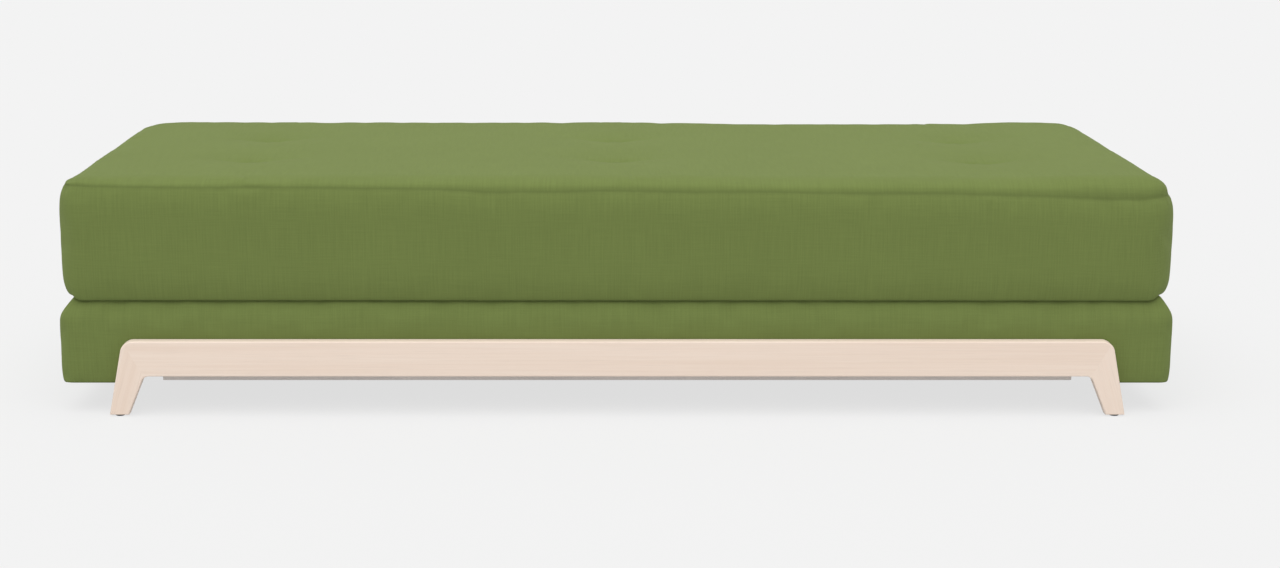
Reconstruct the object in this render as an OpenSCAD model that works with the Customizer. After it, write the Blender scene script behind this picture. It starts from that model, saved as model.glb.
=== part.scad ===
// Sofa bed of the daybed kind: a tufted mattress lies on an upholstered base that stands on two
// splay-legged trestle rails. The mattress turns over the front edge and lies beside the base as
// the second half of a double bed. Millimetres. +X is the right end, -Y the front, +Z up, and the
// origin is on the floor under the middle of the base.

/* [Upholstery] */
// Length between the outermost points of the two ends
sofa_l = 2000; // [1900:10:2200]
// Depth between the outermost points of the front and the rear upholstery
sofa_d = 800; // [760:10:900]
// Thickness of the covering fabric
cover_t = 1.6; // [1:0.1:2]
// How far the facing edges are drawn in at the groove between mattress and base
edge_tuck = 22; // [16:1:26]

/* [Mattress] */
// Thickness from the flat underside to the top seam
mattress_t = 200; // [170:1:201]
// Rise of the top above its seam
mattress_crown = 8; // [4:1:9]
// How much lower the top seam lies at the right end than at the left end
seam_slouch = 16; // [0:1:20]
// Corner radius in plan
mattress_r = 50; // [35:1:70]
// Height over which the lower edge swells out to the full size
mattress_roll_h = 50; // [40:1:70]
// How far the top seam lies inside the outermost line
seam_tuck = 4; // [2:1:8]
// Height over which the border turns in to the top seam
seam_roll_h = 25; // [15:1:40]

/* [Tufts] */
// Distance from the end of the mattress to the nearest tufts
tuft_end = 310; // [280:5:340]
// Spacing of the two rows of tufts
tuft_pitch_y = 266; // [240:2:290]
// Depth of the dimple round a tuft
tuft_depth = 14; // [8:1:16]
// Half length of a dimple
tuft_a = 85; // [70:1:95]
// Half width of a dimple
tuft_b = 65; // [55:1:75]
// Radius of a covered button
button_r = 12; // [9:0.5:14]
// Height of a covered button
button_h = 6; // [5:0.5:9]

/* [Base] */
// Corner radius of the base in plan
base_r = 30; // [18:1:30]
// Height over which the upper edge of the base rolls in
base_roll_h = 45; // [35:1:46]
// Thickness of the foam on the slats
base_foam_t = 47.5; // [47:0.5:60]
// Thickness of the padding round the boards
wrap_t = 12.8; // [12.8:0.2:16]
// Height of the box's boards
board_h = 94; // [90:1:100]
// Thickness of the box's boards
board_t = 22; // [18:1:26]
// Thickness of a slat
slat_t = 12; // [10:1:16]
// Width of a slat
slat_w = 68; // [50:1:80]

/* [Trestles] */
// Distance from the end of the upholstery to the outer corner of a foot
foot_inset = 84; // [60:1:120]
// Height of the rail's underside above the floor
rail_z = 74; // [66:1:90]
// Height of the rail
rail_h = 65; // [60:1:75]
// Thickness of rails and legs
rail_t = 22; // [21:1:28]
// Width of a foot at the floor
foot_w = 34; // [30:1:45]
// Splay of a leg's outer edge from the vertical, in degrees
outer_splay = 11.3; // [8:0.1:14]
// Splay of a leg's inner edge from the vertical, in degrees
inner_splay = 22.5; // [18:0.1:26]
// Radius of the trestle's upper corners
corner_r = 22; // [12:1:28]
// Radius of the fillet between a leg and the rail's underside
web_r = 12; // [6:1:20]

/* [Hardware] */
// Distance from a leg's inner corner to the end of the steel angle
angle_margin = 31.3; // [25:0.1:50]
// Distance from the end of the angle to its nearest bolt
bolt_margin = 40; // [25:1:60]
// How much of the angle shows under the rail
angle_show = 11; // [8:0.5:14]
// Height of the angle's upright leg
angle_h = 60; // [56:1:66]
// Width of the angle's flat leg
angle_w = 40; // [30:1:50]
// Length of the zip in the mattress's rear border
zip_l = 1200; // [800:10:1500]

/* [Hidden] */
slat_count = 13;
SLATS = [for (i = [1:slat_count]) str("slat_", i < 10 ? "0" : "", i)];
SIDES = ["left", "right"];

// Finishes
fabric_colour = [0.45, 0.50, 0.29];
button_colour = [0.40, 0.46, 0.25];
wood_colour = [0.91, 0.84, 0.77];
board_colour = [0.80, 0.69, 0.52];
foam_colour = [0.95, 0.92, 0.80];
wadding_colour = [0.96, 0.96, 0.95];
lining_colour = [0.25, 0.25, 0.26];
steel_colour = [0.66, 0.65, 0.64];
zinc_colour = [0.75, 0.76, 0.78];

// Clearances
soft_gap = 0.3;
fit_gap = 0.05;
cut_over = 1;
$fn = 48;

// Half sizes of the upholstery
hx = sofa_l / 2;
hy = sofa_d / 2;

// How the mattress's lower edge swells: share of the tuck, then share of the roll's height
lower_roll_shares = [
    [1, 0],
    [0.8, 0.05],
    [0.55, 0.14],
    [0.32, 0.3],
    [0.17, 0.55],
    [0.06, 0.8],
    [0, 1]
];
// The same for the upper edge of the base, from the top down
roll_shares = [
    [1, 0],
    [0.95, 0.12],
    [0.78, 0.26],
    [0.5, 0.4],
    [0.27, 0.55],
    [0.1, 0.74],
    [0.02, 0.9],
    [0, 1]
];
// The same for the border under the top seam and for the base's lower edge
seam_shares = [[0, 0], [0.25, 0.55], [1, 1]];
hem_shares = [[1, 0], [0.5, 0.12], [0.17, 0.42], [0, 1]];

// Rounded rectangles in plan
corner_steps = 4;
tight_r = 2;

// Trestle lines: x of a leg's outer and inner edge at a height
foot_x = hx - foot_inset;
rail_top_z = rail_z + rail_h;
function outer_x(z) = foot_x - z * tan(outer_splay);
function inner_x(z) = foot_x - foot_w - z * tan(inner_splay);

// Steel angle, under and in front of the box
angle_l = 2 * (inner_x(rail_z) - angle_margin);
angle_t = 3;
angle_z = rail_z - angle_show;
rail_y = -(hy + soft_gap);
rebate_d = angle_t + soft_gap;

// Box, from the dust cover up
dust_t = 1;
dust_inset = 14;
dust_z = angle_z + angle_t + soft_gap;
hem_z = dust_z + dust_t + soft_gap;
hem_w = 34;
hem_tuck = 6;
hem_roll_h = 24;
box_z = hem_z + cover_t + soft_gap;
box_top_z = box_z + board_h;
board_inset = cover_t + wrap_t + 2 * soft_gap;
box_x = hx - board_inset;
box_y = hy - board_inset;
wrap_z = hem_z + hem_roll_h + cover_t + soft_gap;

// Inside the box
ledge_h = 25;
ledge_w = 25;
ledge_z = box_top_z - slat_t - ledge_h;
block_w = 40;
beam_w = 36;
beam_h = 46;
beam_z = box_top_z - slat_t - beam_h;
tie_w = 40;
tie_x = 500;
slat_space = (2 * (box_x - board_t) - slat_count * slat_w) / (slat_count + 1);

// Screws through the long boards into the end boards
screw_l = 45;
screw_r = 2;
screw_head_r = 4;
screw_head_h = 2.4;
screw_rows = 3;
screw_x = box_x - board_t / 2;

// Bolts that hold rail, angle and box together
bolt_drop = 9.5;
bolt_pitch = (angle_l - 2 * bolt_margin) / 3;
bolt_z = box_z + board_h / 2 - bolt_drop;
bolt_l = 55;
bolt_r = 4;
bolt_head_r = 7.5;
bolt_head_h = 5.3;
bolt_hole_r = 4.5;
washer_r = 9;
washer_t = 2;
insert_r = 6;
insert_l = 14;

// Upper surface of the base, and the stack in the groove: two strips with a clearance on each side
base_foam_z = box_top_z + soft_gap;
base_top_z = base_foam_z + base_foam_t + soft_gap + cover_t;
strip_t = 1.4;
fold_gap = 2 * strip_t + 3 * soft_gap;
base_crown = fold_gap - soft_gap;
crown_inset = 70;
mattress_z = base_top_z + fold_gap;

// Fold strip: wide enough for the folded-out mattress to clear the rail
fold_clear = 9.7;
strip_w = edge_tuck + (soft_gap + rail_t + fold_clear) / 2;
strip_y = -(hy - edge_tuck);
strip_x = hx - crown_inset;

// Mattress
rim_z = mattress_t - cover_t - fit_gap;
foam_top = rim_z - seam_roll_h - seam_slouch - soft_gap;
top_inset = seam_tuck - soft_gap;
crown_power = 10;
base_crown_power = 4;

// Tufts: cords run from the buttons to discs in the underside of the foam
tuft_pitch_x = hx - tuft_end;
button_seat = 0.35;
button_flat_r = 2;
button_rise = 1.2;
button_lip = 1;
cord_r = 1.25;
cord_hole_r = 1.6;
anchor_r = 10;
anchor_t = 2;

// Glides under the feet, and dowels in the mitres
glide_r = 9;
glide_t = 3;
spigot_r = 2.5;
spigot_l = 12;
dowel_r = 4;
dowel_rail_l = 14;
dowel_leg_l = 12;
dowel_first = 20;
dowel_pitch = 22;
dowel_end_gap = 0.5;

// Zip
zip_z = mattress_z + mattress_t / 2;
tape_h = 28;
tape_t = 0.9;
coil_h = 5;
coil_t = 1.5;
slider_l = 14;
slider_h = 10;
slider_plate_t = 1.6;
slider_ear_t = 1.6;
slider_ear_l = 4.4;
slider_ear_w = 4.4;
pin_r = 0.8;
pull_gap = 0.25;
pull_l = 30;
pull_eye_r = 2.1;
pull_t = 1.2;
zip_margin = 6;
zip_start = -zip_l / 2 + zip_margin + slider_l / 2;

// Points of a rounded rectangle in plan, counter-clockwise from its +X side
function plan(half_x, half_y, r) = [
    for (q = [0:3], k = [0:corner_steps])
        let (
            a = 90 * q + 90 * k / corner_steps,
            corner_x = (half_x - r) * (q == 0 || q == 3 ? 1 : -1),
            corner_y = (half_y - r) * (q < 2 ? 1 : -1)
        )
        [corner_x + r * cos(a), corner_y + r * sin(a)]
];

// The plan of the upholstery drawn in by an inset
function inset_plan(inset, r) = plan(hx - inset, hy - inset, max(r - inset, tight_r));

// How far the top seam has sunk at a place along the length
function slouch_at(x) = seam_slouch * (x + hx) / (2 * hx);

// Profile points are [inset, height, share of the slouch]
function rings(profile, r, z0) = [
    for (p = profile, q = inset_plan(p[0], r)) [q[0], q[1], z0 + p[1] - p[2] * slouch_at(q[0])]
];

// Two triangles of the strip between ring j and ring i, at step k
function ring_cell(j, i, k, c) =
    let (n = (k + 1) % c, a = j * c + k, b = j * c + n, d = i * c + k, e = i * c + n)
    [[a, d, e], [a, e, b]];

function reversed(list) = [for (i = [len(list) - 1:-1:0]) list[i]];

// A rising list mirrored about zero, with zero itself in the middle
function mirrored(list) = concat([for (v = reversed(list)) -v], [0], list);

// A closed profile swept round the plan: a shell that is open above and below
module band(profile, r, z0) {
    c = 4 * (corner_steps + 1);
    m = len(profile);
    faces = [for (j = [0:m - 1], k = [0:c - 1]) each ring_cell(j, (j + 1) % m, k, c)];
    polyhedron(rings(profile, r, z0), faces);
}

// Rings stacked from the bottom up into a solid with flat ends
module stack(levels, r, z0) {
    c = 4 * (corner_steps + 1);
    m = len(levels);
    sides = [for (j = [0:m - 2], k = [0:c - 1]) each ring_cell(j, j + 1, k, c)];
    bottom = [for (k = [1:c - 2]) [0, k, k + 1]];
    t = (m - 1) * c;
    top = [for (k = [1:c - 2]) [t, t + k + 1, t + k]];
    polyhedron(rings(levels, r, z0), concat(sides, bottom, top));
}

// Half depth of a rounded rectangle at a place along its length
function half_depth(x, half_x, half_y, r) =
    let (e = abs(x) - (half_x - r))
    e <= 0 ? half_y : half_y - r + sqrt(max(0, r * r - e * e));

// Columns through the two round corners at one end
function corner_columns(half_x, r) = [
    for (k = [0:corner_steps]) half_x - r + r * sin(90 * k / corner_steps)
];

// A sheet over a grid: columns are places along the length, rows are shares of the half depth
module sheet(columns, rows, half_x, half_y, r, top, bottom) {
    nx = len(columns);
    ny = len(rows);
    n = nx * ny;
    upper = [for (x = columns, v = rows) [x, v * half_depth(x, half_x, half_y, r), top(x, v)]];
    lower = [for (x = columns, v = rows) [x, v * half_depth(x, half_x, half_y, r), bottom(x, v)]];
    cells = [for (i = [0:nx - 2], j = [0:ny - 2]) i * ny + j];
    above = [for (a = cells) each [[a, a + 1, a + ny + 1], [a, a + ny + 1, a + ny]]];
    below = [
        for (a = cells)
            each [[n + a, n + a + ny, n + a + ny + 1], [n + a, n + a + ny + 1, n + a + 1]]
    ];
    rim = concat(
        [for (i = [0:nx - 2]) i * ny],
        [for (j = [0:ny - 2]) (nx - 1) * ny + j],
        [for (i = [nx - 1:-1:1]) i * ny + ny - 1],
        [for (j = [ny - 1:-1:1]) j]
    );
    m = len(rim);
    walls = [
        for (k = [0:m - 1])
            let (a = rim[k], b = rim[(k + 1) % m])
            each [[n + a, a, b], [n + a, b, n + b]]
    ];
    polyhedron(concat(upper, lower), concat(above, below, walls));
}

// Mattress top: seam, crown and dimples
top_half_x = hx - top_inset;
top_half_y = hy - top_inset;
top_r = mattress_r - top_inset;
tuft_places = [for (i = [-1:1], j = [-1, 1]) [i * tuft_pitch_x, j * tuft_pitch_y / 2]];

function bump(share, power) = 1 - pow(min(abs(share), 1), power);

function sum_of(list, i = 0) = i < len(list) ? list[i] + sum_of(list, i + 1) : 0;

function dimple_at(x, y) = tuft_depth * sum_of([
    for (t = tuft_places) exp(-pow((x - t[0]) / tuft_a, 2) - pow((y - t[1]) / tuft_b, 2))
]);

function top_at(x, v) =
    let (
        lift = (mattress_crown + slouch_at(x)) * bump(x / top_half_x, crown_power) * bump(v, crown_power),
        edge = bump(x / top_half_x, 2 * crown_power) * bump(v, 2 * crown_power)
    )
    mattress_z + mattress_t - slouch_at(x) + lift - edge * dimple_at(x, v * top_half_y);

// Grid columns and rows of the top, close together across each tuft
dimple_column_shares = [-1.65, -0.94, -0.4, 0, 0.4, 0.94, 1.65];
between_shares = [1 / 2];
dimple_row_shares = [-1.2, -0.4, 0, 0.4, 1.2];
outer_row_shares = [0.45, 0.85, 1];
tuft_reach = tuft_a * max(dimple_column_shares);
tuft_space = tuft_pitch_x - 2 * tuft_reach;
end_space = top_half_x - top_r - tuft_pitch_x - tuft_reach;
half_columns = concat(
    [for (s = dimple_column_shares) if (s > 0) s * tuft_a],
    [for (s = between_shares) tuft_reach + s * tuft_space],
    [for (s = dimple_column_shares) tuft_pitch_x + s * tuft_a],
    [tuft_pitch_x + tuft_reach + end_space / 2]
);
top_columns = mirrored(concat(half_columns, corner_columns(top_half_x, top_r)));
tuft_row_edge = tuft_pitch_y / 2 + max(dimple_row_shares) * tuft_b;
half_rows = concat(
    [for (s = dimple_row_shares) (tuft_pitch_y / 2 + s * tuft_b) / top_half_y],
    [for (s = outer_row_shares) (tuft_row_edge + s * (top_half_y - tuft_row_edge)) / top_half_y]
);
top_rows = mirrored(half_rows);

// Base top: level round its edge, where the strips fold, and crowned inside
base_panel_inset = edge_tuck + cover_t + soft_gap;
base_half_x = hx - base_panel_inset;
base_half_y = hy - base_panel_inset;
base_panel_r = max(base_r - base_panel_inset, tight_r);
crown_x = hx - crown_inset;
crown_y = hy - crown_inset;
crown_shares = [0.35, 0.7, 0.9, 1];
base_columns = mirrored(concat(
    [for (s = crown_shares) s * crown_x],
    corner_columns(base_half_x, base_panel_r)
));
base_rows = mirrored(concat([for (s = crown_shares) s * crown_y / base_half_y], [1]));

function base_at(x, v) = base_top_z
    + base_crown * bump(x / crown_x, base_crown_power) * bump(v * base_half_y / crown_y, base_crown_power);

// Corners of a trestle's outline
outer_corner = [outer_x(rail_top_z), rail_top_z];
inner_corner = [inner_x(rail_z), rail_z];
round_z = rail_top_z - corner_r;
round_centre = [outer_x(round_z) - corner_r / cos(outer_splay), round_z];
web_z = rail_z - web_r;
web_centre = [inner_x(web_z) - web_r / cos(inner_splay), web_z];
mitre = outer_corner - inner_corner;
mitre_l = norm(mitre);
mitre_along = mitre / mitre_l;
mitre_across = [mitre_along[1], -mitre_along[0]];
glide_x = (outer_x(glide_t) + inner_x(glide_t)) / 2;
trestle_y = rail_y - rail_t / 2;

// What lies outside the rounded upper corner
module corner_cut() {
    reach = corner_r + cut_over;
    difference() {
        polygon([
            round_centre,
            [round_centre[0], rail_top_z + cut_over],
            [outer_corner[0] + cut_over, rail_top_z + cut_over],
            round_centre + reach * [cos(outer_splay), sin(outer_splay)]
        ]);
        translate(round_centre) circle(corner_r);
    }
}

// A leg with the fillet that runs under the rail
module leg_outline() {
    difference() {
        polygon([
            [inner_x(glide_t), glide_t],
            [outer_x(glide_t), glide_t],
            outer_corner,
            inner_corner,
            [web_centre[0], rail_z],
            web_centre,
            web_centre + web_r * [cos(inner_splay), sin(inner_splay)]
        ]);
        corner_cut();
        translate(web_centre) circle(web_r);
    }
}

module rail_outline() {
    difference() {
        polygon([
            [-inner_corner[0], rail_z],
            inner_corner,
            outer_corner,
            [-outer_corner[0], rail_top_z]
        ]);
        corner_cut();
        mirror([1, 0]) corner_cut();
    }
}

// Stands an outline up as a board in the trestle's place, in front of the box
module trestle_board() {
    translate([0, rail_y, 0]) rotate([90, 0, 0]) linear_extrude(rail_t) children();
}

// The dowels of the right-hand mitre, or their bores when grown
module mitre_dowels(grow, end_gap) {
    for (k = [0, 1]) {
        seat = inner_corner + (dowel_first + k * dowel_pitch) * mitre_along;
        start = seat - (dowel_rail_l + end_gap) * mitre_across;
        translate([start[0], trestle_y, start[1]])
            rotate([0, atan2(mitre_across[0], mitre_across[1]), 0])
            cylinder(h = dowel_rail_l + dowel_leg_l + 2 * end_gap, r = dowel_r + grow);
    }
}

// Places the children at the four bolts, looking out through the front board
module at_bolts(y) {
    for (i = [-1.5:1:1.5])
        translate([i * bolt_pitch, y, bolt_z]) rotate([90, 0, 0]) children();
}

module rail() {
    rebate_top_z = angle_z + angle_h + soft_gap;
    color(wood_colour) difference() {
        trestle_board() rail_outline();
        translate([-angle_l / 2 - soft_gap, rail_y - rebate_d, rail_z - cut_over])
            cube([angle_l + 2 * soft_gap, rebate_d + cut_over, rebate_top_z - rail_z + cut_over]);
        at_bolts(rail_y) cylinder(h = rebate_d + insert_l + dowel_end_gap, r = insert_r + fit_gap);
        mitre_dowels(fit_gap, dowel_end_gap);
        mirror([1, 0, 0]) mitre_dowels(fit_gap, dowel_end_gap);
    }
}

module leg_right() {
    color(wood_colour) difference() {
        trestle_board() leg_outline();
        mitre_dowels(fit_gap, dowel_end_gap);
        translate([glide_x, trestle_y, 0])
            cylinder(h = glide_t + spigot_l + dowel_end_gap, r = spigot_r + fit_gap);
    }
}

module glide_right() {
    color(lining_colour) translate([glide_x, trestle_y, 0]) {
        cylinder(h = glide_t, r = glide_r);
        cylinder(h = glide_t + spigot_l, r = spigot_r);
    }
}

module to_left() {
    mirror([1, 0, 0]) children();
}

module to_rear() {
    mirror([0, 1, 0]) children();
}

module leg_dowels() {
    color(board_colour) for (rear = [0, 1], left = [0, 1])
        mirror([0, rear, 0]) mirror([left, 0, 0]) mitre_dowels(0, 0);
}

module angle() {
    color(steel_colour) difference() {
        union() {
            translate([-angle_l / 2, rail_y - angle_t, angle_z]) cube([angle_l, angle_t, angle_h]);
            translate([-angle_l / 2, rail_y - angle_t, angle_z]) cube([angle_l, angle_w, angle_t]);
        }
        at_bolts(rail_y + cut_over) cylinder(h = angle_t + 2 * cut_over, r = bolt_hole_r);
    }
}

// The bolt runs from the washer on the board's inner face towards the front
module bolt() {
    translate([0, 0, -bolt_head_h]) cylinder(h = bolt_head_h, r = bolt_head_r, $fn = 6);
    cylinder(h = bolt_l, r = bolt_r);
}

bolt_head_y = -(box_y - board_t) + washer_t;

module rail_bolts() {
    color(zinc_colour) for (rear = [0, 1]) mirror([0, rear, 0]) at_bolts(bolt_head_y) bolt();
}

module bolt_washers() {
    color(zinc_colour) for (rear = [0, 1]) mirror([0, rear, 0]) at_bolts(bolt_head_y) difference() {
        cylinder(h = washer_t, r = washer_r);
        translate([0, 0, -cut_over]) cylinder(h = washer_t + 2 * cut_over, r = bolt_r + fit_gap);
    }
}

module rail_inserts() {
    color(zinc_colour) for (rear = [0, 1]) mirror([0, rear, 0]) at_bolts(rail_y - rebate_d) difference() {
        cylinder(h = insert_l, r = insert_r);
        translate([0, 0, -cut_over]) cylinder(h = insert_l + 2 * cut_over, r = bolt_r + fit_gap);
    }
}

// A countersunk screw along +Z, or its bore when grown
module screw(grow, end_gap) {
    rotate_extrude() polygon([
        [0, 0],
        [screw_head_r + grow, 0],
        [screw_r + grow, screw_head_h],
        [screw_r + grow, screw_l + end_gap],
        [0, screw_l + end_gap]
    ]);
}

module corner_screw_set(grow, end_gap) {
    for (left = [0, 1], k = [1:screw_rows])
        mirror([left, 0, 0])
        translate([screw_x, -box_y, box_z + board_h * k / (screw_rows + 1)])
        rotate([-90, 0, 0])
        screw(grow, end_gap);
}

module corner_screws() {
    color(zinc_colour) for (rear = [0, 1]) mirror([0, rear, 0]) corner_screw_set(0, 0);
}

module long_board() {
    color(board_colour) difference() {
        translate([-box_x, -box_y, box_z]) cube([2 * box_x, board_t, board_h]);
        at_bolts(-box_y + board_t + cut_over) cylinder(h = board_t + 2 * cut_over, r = bolt_hole_r);
        corner_screw_set(fit_gap, dowel_end_gap);
    }
}

module end_board_right() {
    inner_y = box_y - board_t;
    color(board_colour) difference() {
        translate([box_x - board_t, -inner_y, box_z]) cube([board_t, 2 * inner_y, board_h]);
        corner_screw_set(fit_gap, dowel_end_gap);
        to_rear() corner_screw_set(fit_gap, dowel_end_gap);
    }
}

module corner_blocks() {
    color(board_colour) for (rear = [0, 1], left = [0, 1])
        mirror([0, rear, 0]) mirror([left, 0, 0])
        translate([box_x - board_t - block_w, -(box_y - board_t), box_z])
        cube([block_w, block_w, ledge_z - box_z]);
}

module slat_ledge() {
    color(board_colour) translate([-(box_x - board_t), -(box_y - board_t), ledge_z])
        cube([2 * (box_x - board_t), ledge_w, ledge_h]);
}

module centre_beam() {
    color(board_colour) translate([-(box_x - board_t), -beam_w / 2, beam_z])
        cube([2 * (box_x - board_t), beam_w, beam_h]);
}

module cross_tie_right() {
    color(board_colour) translate([tie_x - tie_w / 2, -(box_y - board_t), box_z])
        cube([tie_w, 2 * (box_y - board_t), beam_z - box_z]);
}

module slat(i) {
    half = box_y - board_t - soft_gap;
    x = -(box_x - board_t) + slat_space + (i - 1) * (slat_w + slat_space);
    color(board_colour) translate([x, -half, box_top_z - slat_t]) cube([slat_w, 2 * half, slat_t]);
}

// Soft parts of the base
module base_foam() {
    inset = cover_t + soft_gap;
    top = base_foam_z + base_foam_t;
    levels = concat(
        [[inset, base_foam_z, 0]],
        [for (s = reversed(roll_shares)) [edge_tuck * s[0] + inset, top - base_roll_h * s[1], 0]]
    );
    color(foam_colour) stack(levels, base_r, 0);
}

// Part of the padding's plan inside a rectangle that starts at a corner
module wrap_strip(corner, size) {
    translate([0, 0, wrap_z]) linear_extrude(box_top_z - wrap_z) intersection() {
        polygon(inset_plan(cover_t + soft_gap, base_r));
        translate(corner) square(size);
    }
}

// Four strips of padding round the boards: front and rear run past the ends of the other two
module box_wrap() {
    inner_x = box_x + soft_gap;
    inner_y = box_y + soft_gap;
    color(wadding_colour) difference() {
        union() {
            wrap_strip([-hx, -hy], [sofa_l, hy - inner_y]);
            wrap_strip([-hx, inner_y], [sofa_l, hy - inner_y]);
        }
        through_bolt_holes();
    }
    color(wadding_colour) for (x = [-hx, inner_x])
        wrap_strip([x, -inner_y + soft_gap], [hx - inner_x, 2 * (inner_y - soft_gap)]);
}

// Bolt holes through everything from the front to the rear
module through_bolt_holes() {
    at_bolts(hy + cut_over) cylinder(h = sofa_d + 2 * cut_over, r = bolt_hole_r);
}

module base_side_cover() {
    outside = concat(
        [[hem_w, hem_z, 0]],
        [for (s = hem_shares) [hem_tuck * s[0], hem_z + hem_roll_h * s[1], 0]],
        [for (s = reversed(roll_shares)) [edge_tuck * s[0], base_top_z - base_roll_h * s[1], 0]],
        [[edge_tuck + cover_t, base_top_z, 0]]
    );
    under_top_z = base_top_z - cover_t;
    over_hem_z = hem_z + cover_t;
    inside = concat(
        [for (s = roll_shares) [edge_tuck * s[0] + cover_t, under_top_z - base_roll_h * s[1], 0]],
        [for (s = reversed(hem_shares)) [hem_tuck * s[0] + cover_t, over_hem_z + hem_roll_h * s[1], 0]],
        [[hem_w, over_hem_z, 0]]
    );
    color(fabric_colour) difference() {
        band(concat(outside, inside), base_r, 0);
        through_bolt_holes();
    }
}

module base_top_panel() {
    color(fabric_colour) sheet(
        base_columns, base_rows, base_half_x, base_half_y, base_panel_r,
        function(x, v) base_at(x, v),
        function(x, v) base_at(x, v) - cover_t
    );
}

module dust_cover() {
    color(lining_colour) translate([0, 0, dust_z]) linear_extrude(dust_t)
        polygon(inset_plan(dust_inset, base_r));
}

// Fold strip, folded double in the front of the groove
module fold_strip(z) {
    color(fabric_colour) translate([-strip_x, strip_y, z]) cube([2 * strip_x, strip_w - soft_gap, strip_t]);
}

// Mattress
module mattress_border() {
    outside = concat(
        [[edge_tuck + cover_t, 0, 0]],
        [for (s = lower_roll_shares) [edge_tuck * s[0], mattress_roll_h * s[1], 0]],
        [for (s = seam_shares) [seam_tuck * s[0], rim_z - seam_roll_h * (1 - s[1]), 1]]
    );
    inside = concat(
        [for (s = reversed(seam_shares)) [seam_tuck * s[0] + cover_t, rim_z - seam_roll_h * (1 - s[1]), 1]],
        [
            for (s = reversed(lower_roll_shares))
                [edge_tuck * s[0] + cover_t, mattress_roll_h * s[1] + cover_t, 0]
        ]
    );
    color(fabric_colour) band(concat(outside, inside), mattress_r, mattress_z);
}

module tuft_bores(z0, z1, r) {
    for (t = tuft_places) translate([t[0], t[1], z0]) cylinder(h = z1 - z0, r = r);
}

module mattress_top_panel() {
    color(fabric_colour) difference() {
        sheet(
            top_columns, top_rows, top_half_x, top_half_y, top_r,
            function(x, v) top_at(x, v),
            function(x, v) top_at(x, v) - cover_t
        );
        tuft_bores(mattress_z + foam_top, mattress_z + mattress_t + mattress_crown, cord_hole_r);
    }
}

// The wadding fills the space between the flat foam and the crowned top
wadding_inset = seam_tuck + cover_t + soft_gap;
wadding_half_x = hx - wadding_inset;
wadding_half_y = hy - wadding_inset;
wadding_r = mattress_r - wadding_inset;
wadding_columns = mirrored(concat(half_columns, corner_columns(wadding_half_x, wadding_r)));

module mattress_wadding() {
    bottom = mattress_z + foam_top + soft_gap;
    color(wadding_colour) difference() {
        sheet(
            wadding_columns, top_rows, wadding_half_x, wadding_half_y, wadding_r,
            function(x, v) top_at(x, v * wadding_half_y / top_half_y) - cover_t - 2 * soft_gap,
            function(x, v) bottom
        );
        tuft_bores(bottom - cut_over, mattress_z + mattress_t, cord_hole_r);
    }
}

module mattress_foam() {
    inset = cover_t + soft_gap;
    levels = concat(
        [for (s = lower_roll_shares) [edge_tuck * s[0] + inset, mattress_roll_h * s[1] + inset, 0]],
        [[inset, foam_top, 0]]
    );
    color(foam_colour) difference() {
        stack(levels, mattress_r, mattress_z);
        tuft_bores(mattress_z, mattress_z + foam_top + cut_over, cord_hole_r);
        tuft_bores(mattress_z, mattress_z + inset + anchor_t + soft_gap, anchor_r + soft_gap);
    }
}

module mattress_bottom_panel() {
    color(fabric_colour) translate([0, 0, mattress_z]) linear_extrude(cover_t)
        polygon(inset_plan(edge_tuck + cover_t + soft_gap, mattress_r));
}

anchor_z = mattress_z + cover_t + soft_gap;

function button_z(t) = top_at(t[0], t[1] / top_half_y) + button_seat;

module tuft_anchors() {
    color(lining_colour) tuft_bores(anchor_z, anchor_z + anchor_t, anchor_r);
}

module tuft_cords() {
    color(wadding_colour) for (t = tuft_places)
        translate([t[0], t[1], anchor_z + anchor_t])
        cylinder(h = button_z(t) - anchor_z - anchor_t, r = cord_r);
}

// A covered button: hollowed a little underneath, domed on top
module tuft_buttons() {
    rim_top = button_rise + button_lip;
    dome = [for (a = [0:15:90]) [button_r * cos(a), rim_top + (button_h - rim_top) * sin(a)]];
    color(button_colour) for (t = tuft_places)
        translate([t[0], t[1], button_z(t)])
        rotate_extrude()
        polygon(concat([[0, 0], [button_flat_r, 0], [button_r, button_rise]], dome));
}

// Zip in the middle of the rear border
module zip_tape() {
    color(fabric_colour) translate([-zip_l / 2, hy + soft_gap, zip_z]) {
        translate([0, 0, -tape_h / 2]) cube([zip_l, tape_t, tape_h]);
        translate([0, tape_t - soft_gap, -coil_h / 2]) cube([zip_l, coil_t + soft_gap, coil_h]);
    }
}

tape_y = hy + soft_gap + tape_t;
plate_y = tape_y + coil_t + soft_gap;
pin_y = plate_y + slider_plate_t + slider_ear_w / 2;

// The slider straddles the coil and carries the pull's upright pin between two ears
module zip_slider() {
    wall = (slider_h - coil_h) / 2 - soft_gap;
    color(zinc_colour) translate([zip_start - slider_l / 2, 0, zip_z]) {
        translate([0, plate_y, -slider_h / 2]) cube([slider_l, slider_plate_t, slider_h]);
        for (s = [-1, 1]) {
            translate([0, tape_y + soft_gap, s * (slider_h - wall) / 2 - wall / 2])
                cube([slider_l, coil_t, wall]);
            translate([
                (slider_l - slider_ear_l) / 2,
                plate_y + slider_plate_t,
                s * (slider_h - slider_ear_t) / 2 - slider_ear_t / 2
            ]) cube([slider_ear_l, slider_ear_w, slider_ear_t]);
        }
        translate([slider_l / 2, pin_y, -slider_h / 2]) cylinder(h = slider_h, r = pin_r);
    }
}

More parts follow.
